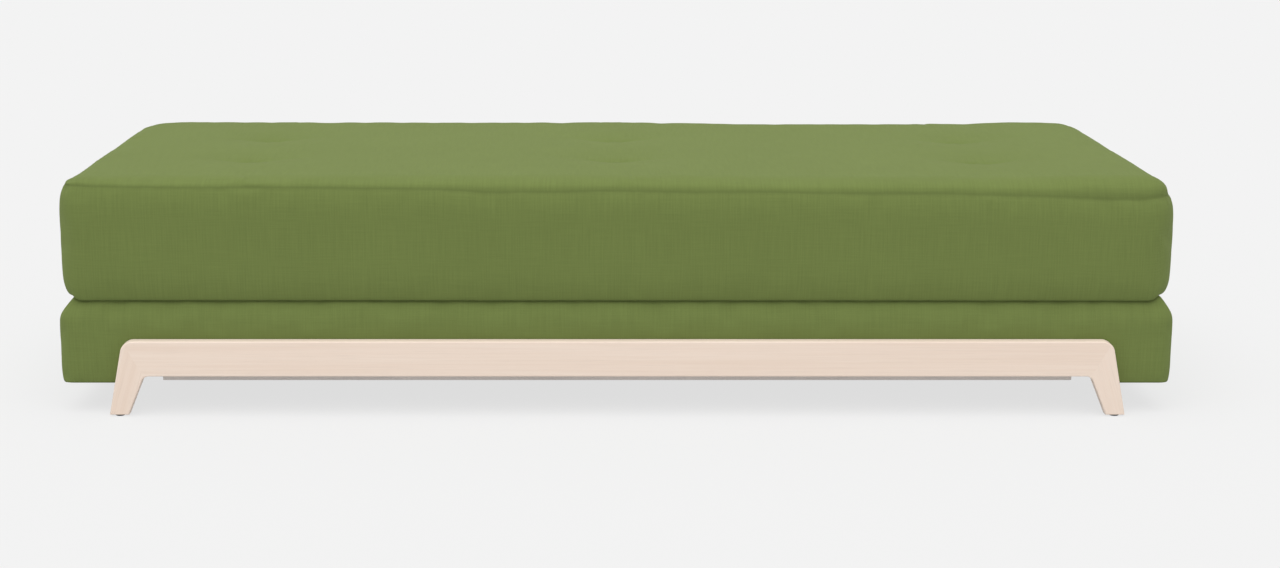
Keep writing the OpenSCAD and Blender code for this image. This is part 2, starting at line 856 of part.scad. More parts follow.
// The pull turns on the pin and lies flat along the zip at either end of its travel
module zip_pull() {
    half_h = slider_h / 2 - slider_ear_t - pull_gap;
    color(zinc_colour) translate([zip_start, pin_y, zip_z]) difference() {
        union() {
            translate([0, 0, -half_h]) cylinder(h = 2 * half_h, r = pull_eye_r);
            translate([0, -pull_t / 2, -half_h]) cube([pull_l, pull_t, 2 * half_h]);
        }
        translate([0, 0, -half_h - cut_over]) cylinder(h = 2 * (half_h + cut_over), r = pin_r + fit_gap);
    }
}

rail();  // front_rail
to_rear() rail();  // rear_rail
leg_right();  // front_leg_right
to_left() leg_right();  // front_leg_left
to_rear() leg_right();  // rear_leg_right
to_rear() to_left() leg_right();  // rear_leg_left
leg_dowels();
glide_right();  // front_glide_right
to_left() glide_right();  // front_glide_left
to_rear() glide_right();  // rear_glide_right
to_rear() to_left() glide_right();  // rear_glide_left
angle();  // front_angle
to_rear() angle();  // rear_angle
rail_bolts();
bolt_washers();
rail_inserts();
long_board();  // box_front_board
to_rear() long_board();  // box_rear_board
end_board_right();  // box_right_board
to_left() end_board_right();  // box_left_board
corner_blocks();
corner_screws();
slat_ledge();  // slat_ledge_front
to_rear() slat_ledge();  // slat_ledge_rear
centre_beam();
cross_tie_right();
to_left() cross_tie_right();  // cross_tie_left
for (i = [1:slat_count]) slat(i);
base_foam();
box_wrap();
base_side_cover();
base_top_panel();
dust_cover();
fold_strip(base_top_z + soft_gap);  // fold_strip_lower
fold_strip(base_top_z + 2 * soft_gap + strip_t);  // fold_strip_upper
mattress_foam();
mattress_wadding();
mattress_bottom_panel();
mattress_border();
mattress_top_panel();
tuft_buttons();
tuft_cords();
tuft_anchors();
zip_tape();
zip_slider();
zip_pull();
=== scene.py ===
"""A sofa bed: a tufted mattress that folds out from an upholstered base on two wooden trestles.

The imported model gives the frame, the moving bodies and the hard parts. This script makes the
cushions, the fold strip, the lining, the trestles and the zip, dresses the hard parts, and sets a
plain studio. Lengths are in metres. +X is the right end, -Y the front and +Z up.
"""

import logging
import math
from collections.abc import Iterable, Sequence
from dataclasses import dataclass, field
from enum import Enum

import bmesh
import bpy
import numpy as np
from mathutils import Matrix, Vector


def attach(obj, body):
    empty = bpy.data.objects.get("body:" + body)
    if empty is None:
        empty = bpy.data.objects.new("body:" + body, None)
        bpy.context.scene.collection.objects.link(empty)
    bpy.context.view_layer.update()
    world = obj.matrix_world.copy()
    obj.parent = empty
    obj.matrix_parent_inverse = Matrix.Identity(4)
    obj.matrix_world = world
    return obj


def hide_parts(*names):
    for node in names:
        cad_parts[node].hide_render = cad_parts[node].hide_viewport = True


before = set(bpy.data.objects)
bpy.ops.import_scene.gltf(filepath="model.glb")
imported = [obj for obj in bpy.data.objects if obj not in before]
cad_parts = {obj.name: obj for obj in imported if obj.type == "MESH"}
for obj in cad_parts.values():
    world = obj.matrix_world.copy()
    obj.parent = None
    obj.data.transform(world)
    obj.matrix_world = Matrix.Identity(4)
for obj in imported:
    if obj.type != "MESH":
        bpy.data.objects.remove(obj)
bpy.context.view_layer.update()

log = logging.getLogger("sofa_bed")

Colour = tuple[float, float, float]
Array = np.ndarray
Object = bpy.types.Object
Mesh = bpy.types.Mesh
Material = bpy.types.Material
NodeTree = bpy.types.NodeTree
Node = bpy.types.Node
Socket = bpy.types.NodeSocket
BMesh = bmesh.types.BMesh
BMEdge = bmesh.types.BMEdge
BMFace = bmesh.types.BMFace
BMVert = bmesh.types.BMVert

MM = 0.001
AXIS_X = Vector((1, 0, 0))
AXIS_Y = Vector((0, 1, 0))
AXIS_Z = Vector((0, 0, 1))
CUT_TOLERANCE = 0.01 * MM
# Name of the point attribute that holds the painted shade along the seams
SEAM_SHADE_ATTRIBUTE = "seam"
CLOTH_FRAMES = 20
CLOTH_SETTINGS = {
    "quality": 4,
    "mass": 0.3,
    "tension_stiffness": 20,
    "compression_stiffness": 10,
    "bending_stiffness": 0.4,
    "shrink_min": -0.012,
    "use_pressure": True,
    "uniform_pressure_force": 4.0,
}
PLAN_SHIFT = 3.0
LEAST_MOVE = 1e-6


def mm(*lengths: float) -> list[float]:
    """Turns lengths in millimetres into metres."""
    return [length * MM for length in lengths]


def linear(red: int, green: int, blue: int) -> Colour:
    """Turns an 8-bit display colour into the linear values that the shaders take.

    Args:
        red: Red from 0 to 255.
        green: Green from 0 to 255.
        blue: Blue from 0 to 255.

    Returns:
        The linear colour.
    """

    def channel(value: int) -> float:
        """Undoes the display curve for one channel."""
        share = value / 255
        return share / 12.92 if share <= 0.04045 else ((share + 0.055) / 1.055) ** 2.4

    return channel(red), channel(green), channel(blue)


def scaled(colour: Colour, factor: float) -> Colour:
    """Returns a colour made lighter or darker by a factor."""
    return tuple(min(1.0, factor * channel) for channel in colour)


# Finishes


class FinishRecipe:
    """A new material with short calls to place and join its nodes."""

    def __init__(self, name: str) -> None:
        """Starts a material that holds one plain surface shader.

        Args:
            name: The material's name.
        """
        self.material = bpy.data.materials.new(name)
        self.material.use_nodes = True
        self.tree = self.material.node_tree
        self.surface = self.tree.nodes["Principled BSDF"]

    def add(self, kind: str, inputs: dict | None = None, **settings: object) -> Node:
        """Places a node.

        Args:
            kind: The node's type, without its ShaderNode prefix.
            inputs: Values or output sockets for the node's inputs, by name or number.
            **settings: The node's own properties.

        Returns:
            The node.
        """
        node = self.tree.nodes.new("ShaderNode" + kind)
        for key, value in settings.items():
            setattr(node, key, value)
        for key, value in (inputs or {}).items():
            self.feed(node.inputs[key], value)
        return node

    def feed(self, socket: Socket, value: object) -> None:
        """Joins an output to a socket, or sets the socket's value.

        Args:
            socket: The input socket.
            value: The output, or the value.
        """
        if isinstance(value, Socket):
            self.tree.links.new(value, socket)
        else:
            socket.default_value = value

    def finish(self, **values: object) -> Material:
        """Sets the surface's sockets.

        Args:
            **values: Values or output sockets, with underscores for the spaces in a socket's name.

        Returns:
            The material.
        """
        for key, value in values.items():
            if key in {"Base_Color", "Sheen_Tint", "Coat_Tint"} and isinstance(value, tuple):
                value = (*value, 1.0)
            self.feed(self.surface.inputs[key.replace("_", " ")], value)
        return self.material

    def place(self, source: str, scale: Sequence[float], turn: Sequence[float] = (0, 0, 0)) -> Socket:
        """Gives coordinates that are stretched and turned.

        Args:
            source: Object or UV.
            scale: Stretch along the three directions.
            turn: Turn about the three directions, in radians.

        Returns:
            The vector output.
        """
        coordinates = self.add("TexCoord").outputs[source]
        turned = self.add("Mapping", {"Vector": coordinates, "Rotation": tuple(turn)})
        return self.add("Mapping", {"Vector": turned.outputs[0], "Scale": tuple(scale)}).outputs[0]

    def noise(self, place: Socket, detail: float = 2.0) -> Socket:
        """Returns the factor of a cloudy noise at a place."""
        return self.add("TexNoise", {"Vector": place, "Scale": 1.0, "Detail": detail}).outputs["Fac"]

    def sum_of(self, *terms: tuple[Socket, float]) -> Socket:
        """Adds outputs, each times its weight.

        Args:
            *terms: Pairs of an output and its weight.

        Returns:
            The sum's output.
        """
        total = None
        for source, weight in terms:
            add = {0: source, 1: weight, 2: 0.0 if total is None else total}
            total = self.add("Math", add, operation="MULTIPLY_ADD").outputs[0]
        return total

    def blend(self, share: object, first: object, second: object) -> Socket:
        """Mixes two colours.

        Args:
            share: Share of the second colour, as a number or an output.
            first: A colour or an output.
            second: A colour or an output.

        Returns:
            The mixed colour's output.
        """
        mix = self.add("Mix", data_type="RGBA", clamp_factor=True)
        self.feed(mix.inputs[0], share)
        for socket, value in ((mix.inputs[6], first), (mix.inputs[7], second)):
            self.feed(socket, (*value, 1.0) if isinstance(value, tuple) else value)
        return mix.outputs[2]

    def stretch(self, value: Socket, low: float, high: float) -> Socket:
        """Spreads the values between low and high over 0 to 1."""
        return self.add("MapRange", {"Value": value, "From Min": low, "From Max": high}).outputs[0]

    def relief(self, height: Socket, depth: float, under: object = None) -> Socket:
        """Turns a height from 0 to 1 into a bumped normal.

        Args:
            height: The height's output.
            depth: The real depth in metres.
            under: A normal to add this relief to.

        Returns:
            The normal's output.
        """
        bump = self.add("Bump", {"Height": height, "Distance": depth, "Strength": 1.0})
        if under is not None:
            self.feed(bump.inputs["Normal"], under)
        return bump.outputs[0]


@dataclass(frozen=True)
class WovenCloth:
    """A plain-woven linen-like cloth with slubs, drawn on a UV map in metres."""

    name: str
    colour: Colour
    thread: float = 1.1 * MM
    slub_contrast: float = 0.07
    sheen: float = 0.06
    depth: float = 0.16 * MM

    def material(self) -> Material:
        """Builds the material.

        Returns:
            The cloth's material.
        """
        recipe = FinishRecipe(self.name)
        flat = recipe.place("UV", (1, 1, 1))
        weave = {"Vector": flat, "Scale": 0.05 * math.tau / self.thread, "Distortion": 0.6, "Detail": 1.0}
        warp, weft = (recipe.add("TexWave", weave, bands_direction=way).outputs["Fac"] for way in "XY")
        upright_slubs = recipe.noise(recipe.place("UV", (420, 14, 1)))
        level_slubs = recipe.noise(recipe.place("UV", (16, 480, 1)))
        patches = recipe.noise(recipe.place("UV", (5, 5, 1)), detail=3.0)
        fuzz = recipe.noise(recipe.place("UV", (1400, 1400, 1)), detail=1.0)
        tone = recipe.sum_of((upright_slubs, 0.45), (level_slubs, 0.30), (patches, 0.15), (fuzz, 0.10))
        share = recipe.stretch(tone, 0.36, 0.64)
        dark, light = (scaled(self.colour, 1 + sign * self.slub_contrast) for sign in (-1, 1))
        woven = recipe.blend(share, dark, light)
        # Painted shade: the cloth darkens towards 30 % of its colour where the seam attribute is set, along
        # the seams' grooves
        seam_shade_share = recipe.add("Attribute", attribute_name=SEAM_SHADE_ATTRIBUTE, attribute_type="GEOMETRY").outputs["Fac"]
        seam_shaded = recipe.blend(seam_shade_share, woven, scaled(self.colour, 0.30))
        threads = recipe.sum_of((warp, 0.5), (weft, 0.5))
        slubs = recipe.sum_of((upright_slubs, 0.5), (level_slubs, 0.5))
        normal = recipe.relief(threads, self.depth, recipe.relief(slubs, 2.0 * self.depth))
        return recipe.finish(
            Base_Color=seam_shaded,
            Roughness=0.92,
            Specular_IOR_Level=0.12,
            Sheen_Weight=self.sheen,
            Sheen_Roughness=0.45,
            Sheen_Tint=(1.0, 1.0, 0.7),
            Normal=normal,
        )


@dataclass(frozen=True)
class Timber:
    """Sawn wood whose grain runs along X, or along Z turned about Y by a lean."""

    name: str
    early: Colour
    late: Colour
    upright: bool = False
    lean: float = 0.0
    roughness: float = 0.5
    ring_scale: float = 46.0
    pore_scales: tuple[float, float] = (14.0, 1500.0)

    def material(self) -> Material:
        """Builds the material.

        Returns:
            The wood's material.
        """
        recipe = FinishRecipe(self.name)

        def grained(along: float, across: float, detail: float) -> Socket:
            """Gives a noise that is squeezed across the grain."""
            scale = (across, across, along) if self.upright else (along, across, across)
            return recipe.noise(recipe.place("Object", scale, (0, self.lean, 0)), detail)

        rings = grained(1.0, self.ring_scale, 4.0)
        streaks = grained(3.0, 5.0 * self.ring_scale, 3.0)
        pores = grained(*self.pore_scales, 1.0)
        patches = grained(1.0, 3.0, 2.0)
        tone = recipe.sum_of((rings, 0.45), (streaks, 0.35), (patches, 0.20))
        share = recipe.stretch(tone, 0.38, 0.62)
        grain = recipe.blend(share, self.early, self.late)
        dark_pores = recipe.stretch(pores, 0.60, 0.74)
        pored = recipe.blend(recipe.sum_of((dark_pores, 0.22)), grain, scaled(self.late, 0.72))
        normal = recipe.relief(pores, 0.05 * MM, recipe.relief(streaks, 0.06 * MM))
        gloss = recipe.sum_of((streaks, 0.12), (pores, 0.08))
        rough = recipe.add("Math", {0: gloss, 1: self.roughness - 0.10}, operation="ADD").outputs[0]
        return recipe.finish(Base_Color=pored, Roughness=rough, Specular_IOR_Level=0.35, Normal=normal)


@dataclass(frozen=True)
class CrossTimber(Timber):
    """Wood whose grain runs along Y."""

    def material(self) -> Material:
        """Builds the material from the lengthwise one, turned a quarter about Z.

        Returns:
            The wood's material.
        """
        made = super().material()
        for node in made.node_tree.nodes:
            if node.type == "MAPPING" and node.inputs["Vector"].links[0].from_node.type == "TEX_COORD":
                node.inputs["Rotation"].default_value = (0, 0, math.pi / 2)
        return made


@dataclass(frozen=True)
class Metal:
    """Bare or coated steel with a fine cloudy surface."""

    name: str
    colour: Colour
    metallic: float
    roughness: float
    grain: float = 260.0

    def material(self) -> Material:
        """Builds the material.

        Returns:
            The metal's material.
        """
        recipe = FinishRecipe(self.name)
        clouds = recipe.noise(recipe.place("Object", (9, 9, 9)), detail=4.0)
        speckle = recipe.noise(recipe.place("Object", (self.grain,) * 3), detail=2.0)
        share = recipe.stretch(recipe.sum_of((clouds, 0.6), (speckle, 0.4)), 0.35, 0.65)
        tint = recipe.blend(share, scaled(self.colour, 0.93), scaled(self.colour, 1.05))
        rough = recipe.sum_of((speckle, 0.18))
        total = recipe.add("Math", {0: rough, 1: self.roughness - 0.09}, operation="ADD").outputs[0]
        normal = recipe.relief(speckle, 0.02 * MM)
        return recipe.finish(Base_Color=tint, Metallic=self.metallic, Roughness=total, Normal=normal)


@dataclass(frozen=True)
class Stuffing:
    """Foam cells, loose wadding, bonded felt, moulded plastic or twine, by the size of its texture."""

    name: str
    colour: Colour
    cell: float
    depth: float
    roughness: float = 0.9
    contrast: float = 0.08
    sheen: float = 0.0

    def material(self) -> Material:
        """Builds the material.

        Returns:
            The stuffing's material.
        """
        recipe = FinishRecipe(self.name)
        size = 1 / self.cell
        cells = recipe.add(
            "TexVoronoi", {"Vector": recipe.place("Object", (size,) * 3), "Scale": 1.0}, feature="F1"
        ).outputs["Distance"]
        clouds = recipe.noise(recipe.place("Object", (0.2 * size,) * 3), detail=4.0)
        share = recipe.stretch(recipe.sum_of((cells, 0.5), (clouds, 0.5)), 0.25, 0.75)
        tint = recipe.blend(
            share, scaled(self.colour, 1 - self.contrast), scaled(self.colour, 1 + self.contrast)
        )
        normal = recipe.relief(cells, self.depth)
        return recipe.finish(
            Base_Color=tint, Roughness=self.roughness, Sheen_Weight=self.sheen, Normal=normal
        )


COVER_GREEN = linear(108, 122, 67)
COVER_CLOTH = WovenCloth("olive linen", COVER_GREEN)
BUTTON_CLOTH = WovenCloth("button linen", scaled(COVER_GREEN, 0.94))
TAPE_CLOTH = WovenCloth("zip tape weave", scaled(COVER_GREEN, 0.80), 0.7 * MM, 0.08, 0.1, 0.12 * MM)
ASH_EARLY = linear(236, 219, 205)
ASH_LATE = linear(230, 210, 194)
FOAM = Stuffing("cream foam", linear(238, 230, 200), 1.2 * MM, 0.4 * MM)
WADDING = Stuffing("white wadding", linear(242, 242, 240), 6.0 * MM, 1.5 * MM, 0.95, 0.05, 0.3)
LINING = Stuffing("black lining felt", linear(62, 62, 64), 1.6 * MM, 0.15 * MM, 0.95, 0.25, 0.1)
GLIDE_PLASTIC = Stuffing("black moulded plastic", linear(52, 52, 53), 0.5 * MM, 0.03 * MM, 0.55, 0.06)
TWINE = Stuffing("white twine", linear(226, 226, 216), 0.8 * MM, 0.2 * MM, 0.85, 0.10)
PINE = Timber("pine", linear(222, 196, 152), linear(203, 168, 118), ring_scale=30.0, roughness=0.62)
PINE_ACROSS = CrossTimber("pine across", PINE.early, PINE.late, ring_scale=30.0, roughness=0.62)
PINE_UPRIGHT = Timber("cross pine", PINE.early, PINE.late, True, ring_scale=30.0, roughness=0.62)
BEECH = Timber("beech", linear(224, 195, 160), linear(208, 174, 136), roughness=0.45)
BEECH_ACROSS = CrossTimber("beech across", BEECH.early, BEECH.late)
GREY_STEEL = Metal("grey coated steel", linear(198, 192, 188), 0.0, 0.5)
ZINC = Metal("zinc plated steel", linear(196, 199, 204), 1.0, 0.34)
ZIP_METAL = Metal("antique zip metal", linear(150, 146, 134), 1.0, 0.30, 900.0)


# Mesh helpers


def dress(piece: Object, material: Material) -> None:
    """Gives a new piece one material."""
    piece.data.materials.clear()
    piece.data.materials.append(material)


def fix(body: str, *pieces: Object) -> None:
    """Hangs finished pieces on a body and reports them.

    Args:
        body: The body's name.
        *pieces: The pieces.
    """
    for piece in pieces:
        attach(piece, body)
        log.info("made %s", piece.name)


def new_piece(name: str, mesh: BMesh, smooth: bool = True) -> Object:
    """Turns a finished bmesh into an object at the origin.

    Args:
        name: The piece's name.
        mesh: The bmesh, which is freed.
        smooth: Whether faces are shaded smooth.

    Returns:
        The new object.
    """
    data = bpy.data.meshes.new(name)
    mesh.to_mesh(data)
    mesh.free()
    data.polygons.foreach_set("use_smooth", [smooth] * len(data.polygons))
    piece = bpy.data.objects.new(name, data)
    bpy.context.scene.collection.objects.link(piece)
    return piece


def points_of(data: Mesh) -> Array:
    """Reads a mesh's points.

    Args:
        data: The mesh.

    Returns:
        Rows of x, y and z.
    """
    flat = np.empty(3 * len(data.vertices))
    data.vertices.foreach_get("co", flat)
    return flat.reshape(-1, 3)


def move_points(data: Mesh, points: Array) -> None:
    """Writes a mesh's points back."""
    data.vertices.foreach_set("co", points.astype(np.float32).ravel())
    data.update()


def smoothstep(values: Array, low: float, high: float) -> Array:
    """Rises smoothly from 0 at low to 1 at high."""
    share = np.clip((values - low) / (high - low), 0, 1)
    return share * share * (3 - 2 * share)


def bell(values: Array, width: float) -> Array:
    """Falls smoothly from 1 at zero to nothing some widths away."""
    return np.exp(-((values / width) ** 2))


def add_subdivision(piece: Object, levels: int = 1) -> None:
    """Adds a subdivision surface with the same levels in view and render.

    Args:
        piece: The piece.
        levels: How often its faces are divided.
    """
    modifier = piece.modifiers.new("subdivision", "SUBSURF")
    modifier.levels = levels
    modifier.render_levels = levels


def add_thickness(piece: Object, thickness: float, offset: float) -> None:
    """Gives a sheet its thickness.

    Args:
        piece: The sheet.
        thickness: The thickness in metres.
        offset: From -1, all inwards, to 1, all outwards.
    """
    modifier = piece.modifiers.new("thickness", "SOLIDIFY")
    modifier.thickness = thickness
    modifier.offset = offset
    modifier.use_even_offset = True


def add_soft_edges(piece: Object, width: float) -> None:
    """Rounds a hard part's sharp edges, for which its loose triangles are welded.

    Args:
        piece: The hard part.
        width: Width of the rounding.
    """
    weld = piece.modifiers.new("weld", "WELD")
    weld.merge_threshold = 0.005 * MM
    edges = piece.modifiers.new("edges", "BEVEL")
    edges.width = width
    edges.segments = 2
    edges.limit_method = "ANGLE"
    edges.angle_limit = math.radians(40)


def cut_levels(mesh: BMesh, axis: Vector, levels: Iterable[float]) -> None:
    """Cuts every face along planes across an axis.

    Args:
        mesh: The bmesh.
        axis: The axis.
        levels: Places along it.
    """
    for level in levels:
        bmesh.ops.bisect_plane(
            mesh,
            geom=mesh.verts[:] + mesh.edges[:] + mesh.faces[:],
            dist=CUT_TOLERANCE,
            plane_co=axis * level,
            plane_no=axis,
        )


def bevel(mesh: BMesh, geom: Sequence, offset: float, segments: int, affect: str = "EDGES") -> None:
    """Rounds edges, or the corners of a flat face.

    Args:
        mesh: The bmesh.
        geom: The edges or corners.
        offset: How far the rounding reaches.
        segments: Faces or edges across it.
        affect: EDGES or VERTICES.
    """
    bmesh.ops.bevel(
        mesh, geom=geom, offset=offset, segments=segments, profile=0.5, affect=affect, material=-1
    )


def extrude(mesh: BMesh, faces: Sequence[BMFace], shift: Sequence[float]) -> list[BMFace]:
    """Extrudes faces and moves the new ones.

    Args:
        mesh: The bmesh.
        faces: The faces, which stay.
        shift: The way from the old faces to the new.

    Returns:
        The new faces.
    """
    lifted = bmesh.ops.extrude_face_region(mesh, geom=faces)["geom"]
    verts = [item for item in lifted if isinstance(item, BMVert)]
    bmesh.ops.translate(mesh, verts=verts, vec=shift)
    return [item for item in lifted if isinstance(item, BMFace)]


def add_box(mesh: BMesh, size: Sequence[float], middle: Sequence[float]) -> None:
    """Adds a box.

    Args:
        mesh: The bmesh to add to.
        size: Its full length, depth and height.
        middle: Its middle.
    """
    verts = bmesh.ops.create_cube(mesh, size=1.0)["verts"]
    bmesh.ops.scale(mesh, verts=verts, vec=size)
    bmesh.ops.translate(mesh, verts=verts, vec=middle)


def lathe(mesh: BMesh, foot: Vector, section: Iterable[tuple[float, float]], steps: int) -> None:
    """Adds a turned shape from half of its section, which starts and ends on the axis.

    Args:
        mesh: The bmesh to add to.
        foot: Where the upright axis starts.
        section: Radius and height of each point of the section.
        steps: Faces round the axis.
    """
    verts = [mesh.verts.new(foot + Vector((radius, 0, height))) for radius, height in section]
    edges = [mesh.edges.new(pair) for pair in zip(verts, verts[1:])]
    bmesh.ops.spin(
        mesh, geom=verts + edges, cent=foot, axis=AXIS_Z, angle=math.tau, steps=steps, use_merge=True
    )
    bmesh.ops.remove_doubles(mesh, verts=mesh.verts, dist=CUT_TOLERANCE)
    bmesh.ops.recalc_face_normals(mesh, faces=mesh.faces)
    mesh.verts.index_update()
    count = len(mesh.verts)

    def rank(item: BMEdge | BMFace) -> float:
        """Ranks an edge or face by its points, since a spin's own order changes with each run."""
        numbers = [vert.index for vert in item.verts]
        return float(count * min(numbers) + max(numbers))

    mesh.edges.sort(key=rank)
    mesh.faces.sort(key=rank)


def map_flat(mesh: BMesh, u: int = 0, v: int = 1) -> None:
    """Lays a UV map in metres flat along two of the three directions.

    Args:
        mesh: The bmesh.
        u: The first direction's number.
        v: The second direction's number.
    """
    layer = mesh.loops.layers.uv.verify()
    for face in mesh.faces:
        for loop in face.loops:
            loop[layer].uv = (loop.vert.co[u], loop.vert.co[v])


def level_grid(cells: tuple[int, int], half_size: tuple[float, float], middle: Vector) -> BMesh:
    """Makes a level sheet of cells with its UV map.

    Args:
        cells: Cells along X and along Y.
        half_size: Half length and half depth.
        middle: Its middle.

    Returns:
        The sheet.
    """
    mesh = bmesh.new()
    bmesh.ops.create_grid(mesh, x_segments=cells[0], y_segments=cells[1], size=1.0)
    bmesh.ops.scale(mesh, verts=mesh.verts, vec=(*half_size, 1))
    bmesh.ops.translate(mesh, verts=mesh.verts, vec=middle)
    map_flat(mesh)
    return mesh


def graded_lines(
    low: float, high: float, cell: float, edge_steps: Sequence[float], fine: Sequence[float] = ()
) -> list[float]:
    """Spaces cutting lines, closer together at both ends and round given places.

    Args:
        low: The lower end.
        high: The upper end.
        cell: The usual spacing.
        edge_steps: Distances of the first lines from each end.
        fine: Lines that are wanted as well, which clear the usual ones near them.

    Returns:
        The places between the ends, rising.
    """
    *first, last = edge_steps
    middle = high - low - 2 * last
    count = max(1, round(middle / cell))
    usual = [low + last + middle * k / count for k in range(count + 1)]
    kept = [place for place in usual if all(abs(place - other) > 0.3 * cell for other in fine)]
    edges = [place for step in first for place in (low + step, high - step)]
    return sorted({round(place, 7) for place in [*kept, *edges, *fine]})


# Padded blocks


@dataclass
class PaddedBlock:
    """A stuffed block, built as a grid of faces so that its seams follow rows of edges."""

    name: str
    half_x: float
    half_y: float
    low: float
    high: float
    corners: tuple[float, float, float]
    cell: float
    edge_steps: Sequence[float]
    z_lines: Sequence[float]
    fine: tuple[Sequence[float], Sequence[float]] = ((), ())
    rest: Array = field(init=False)
    piece: Object = field(init=False)

    def build(self) -> None:
        """Makes the grid block, still with a square plan, and its UV map in metres."""
        mesh = bmesh.new()
        size = (2 * self.half_x, 2 * self.half_y, self.high - self.low)
        add_box(mesh, size, (0, 0, (self.high + self.low) / 2))
        x_lines, y_lines = (
            graded_lines(-half, half, self.cell, self.edge_steps, fine)
            for half, fine in zip((self.half_x, self.half_y), self.fine)
        )
        cut_levels(mesh, AXIS_X, x_lines)
        cut_levels(mesh, AXIS_Z, self.z_lines)
        cut_levels(mesh, AXIS_Y, y_lines)
        self.map_cloth(mesh)
        self.piece = new_piece(self.name, mesh)
        self.rest = points_of(self.piece.data)

    def map_cloth(self, mesh: BMesh) -> None:
        """Lays the cloth on the flat block: top and bottom in plan, the border unrolled round it.

        Args:
            mesh: The grid block, before it is shaped.
        """
        layer = mesh.loops.layers.uv.new("cloth")
        for face in mesh.faces:
            normal = face.normal
            for loop in face.loops:
                x, y, z = loop.vert.co
                if abs(normal.z) > 0.5:
                    loop[layer].uv = (x, y + math.copysign(PLAN_SHIFT, normal.z))
                elif abs(normal.y) > 0.5:
                    start = 0.0 if normal.y < 0 else 2 * self.half_y + 2 * self.half_x
                    loop[layer].uv = (start - math.copysign(x, normal.y), z)
                else:
                    start = self.half_x + self.half_y
                    loop[layer].uv = (math.copysign(start, normal.x) + math.copysign(y, normal.x * y), z)

    def placed(self, inset: Array | float, slump: Array | float = 0.0) -> Array:
        """Rounds the plan and draws it in, so that each corner keeps its centre at every level.

        The three corner radii are for the front left, the front right and both rear corners.

        Args:
            inset: How far each point's level is drawn in.
            slump: What each point's level adds to its corner radius.

        Returns:
            The block's points with a rounded plan.
        """
        points = self.rest.copy()
        x, y = np.abs(points[:, 0]), np.abs(points[:, 1])
        front_left, front_right, rear = self.corners
        corner = np.where(points[:, 1] > 0, rear, np.where(points[:, 0] < 0, front_left, front_right)) + slump
        a = np.clip((x - self.half_x + corner) / corner, 0, 1)
        b = np.clip((y - self.half_y + corner) / corner, 0, 1)
        reach = np.maximum(corner - inset, MM)
        made_x = np.minimum(x, self.half_x - corner) + reach * a * np.sqrt(1 - b * b / 2)
        made_y = np.minimum(y, self.half_y - corner) + reach * b * np.sqrt(1 - a * a / 2)
        points[:, 0] = np.copysign(made_x, points[:, 0])
        points[:, 1] = np.copysign(made_y, points[:, 1])
        return points

    def edge_distance(self) -> Array:
        """Returns each point's distance from the nearest edge of the flat block's plan."""
        return np.minimum(self.half_x - np.abs(self.rest[:, 0]), self.half_y - np.abs(self.rest[:, 1]))

    def shape(self, points: Array) -> None:
        """Moves the block's points."""
        move_points(self.piece.data, points)

    def press_out(self, held: Array, most: Array) -> None:
        """Inflates the cover with a short cloth simulation, and limits how far each point moves.

        Args:
            held: How firmly each point is held, from 0 to 1.
            most: The furthest that each point may move.
        """
        start = points_of(self.piece.data)
        group = self.piece.vertex_groups.new(name="held")
        weights = np.round(held, 2)
        for weight in np.unique(weights[weights > 0]):
            members = np.nonzero(np.isclose(weights, weight))[0].tolist()
            group.add(members, float(weight), "REPLACE")
        modifier = self.piece.modifiers.new("cloth", "CLOTH")
        settings = modifier.settings
        for name, value in CLOTH_SETTINGS.items():
            setattr(settings, name, value)
        settings.vertex_group_mass = group.name
        settings.effector_weights.gravity = 0
        modifier.collision_settings.use_collision = False
        modifier.point_cache.frame_start = 1
        modifier.point_cache.frame_end = CLOTH_FRAMES
        scene = bpy.context.scene
        for step in range(1, CLOTH_FRAMES + 1):
            scene.frame_set(step)
        swollen = points_of(self.piece.evaluated_get(bpy.context.evaluated_depsgraph_get()).data)
        self.piece.modifiers.remove(modifier)
        self.piece.vertex_groups.remove(group)
        scene.frame_set(1)
        drift = swollen - start
        reach = np.linalg.norm(drift, axis=1)
        limit = np.maximum(most, LEAST_MOVE)
        share = limit * np.tanh(reach / limit) / np.maximum(reach, 0.001 * LEAST_MOVE)
        move_points(self.piece.data, start + drift * share[:, None])
        log.info("%s pressed out by up to %.1f mm", self.name, reach.max() / MM)

    def mark_seam(self, strength: Array) -> None:
        """Stores how dark each point is painted, as painted shade along the cloth's seams."""
        layer = self.piece.data.attributes.new(SEAM_SHADE_ATTRIBUTE, "FLOAT", "POINT")
        layer.data.foreach_set("value", strength.astype(np.float32))


# Mattress


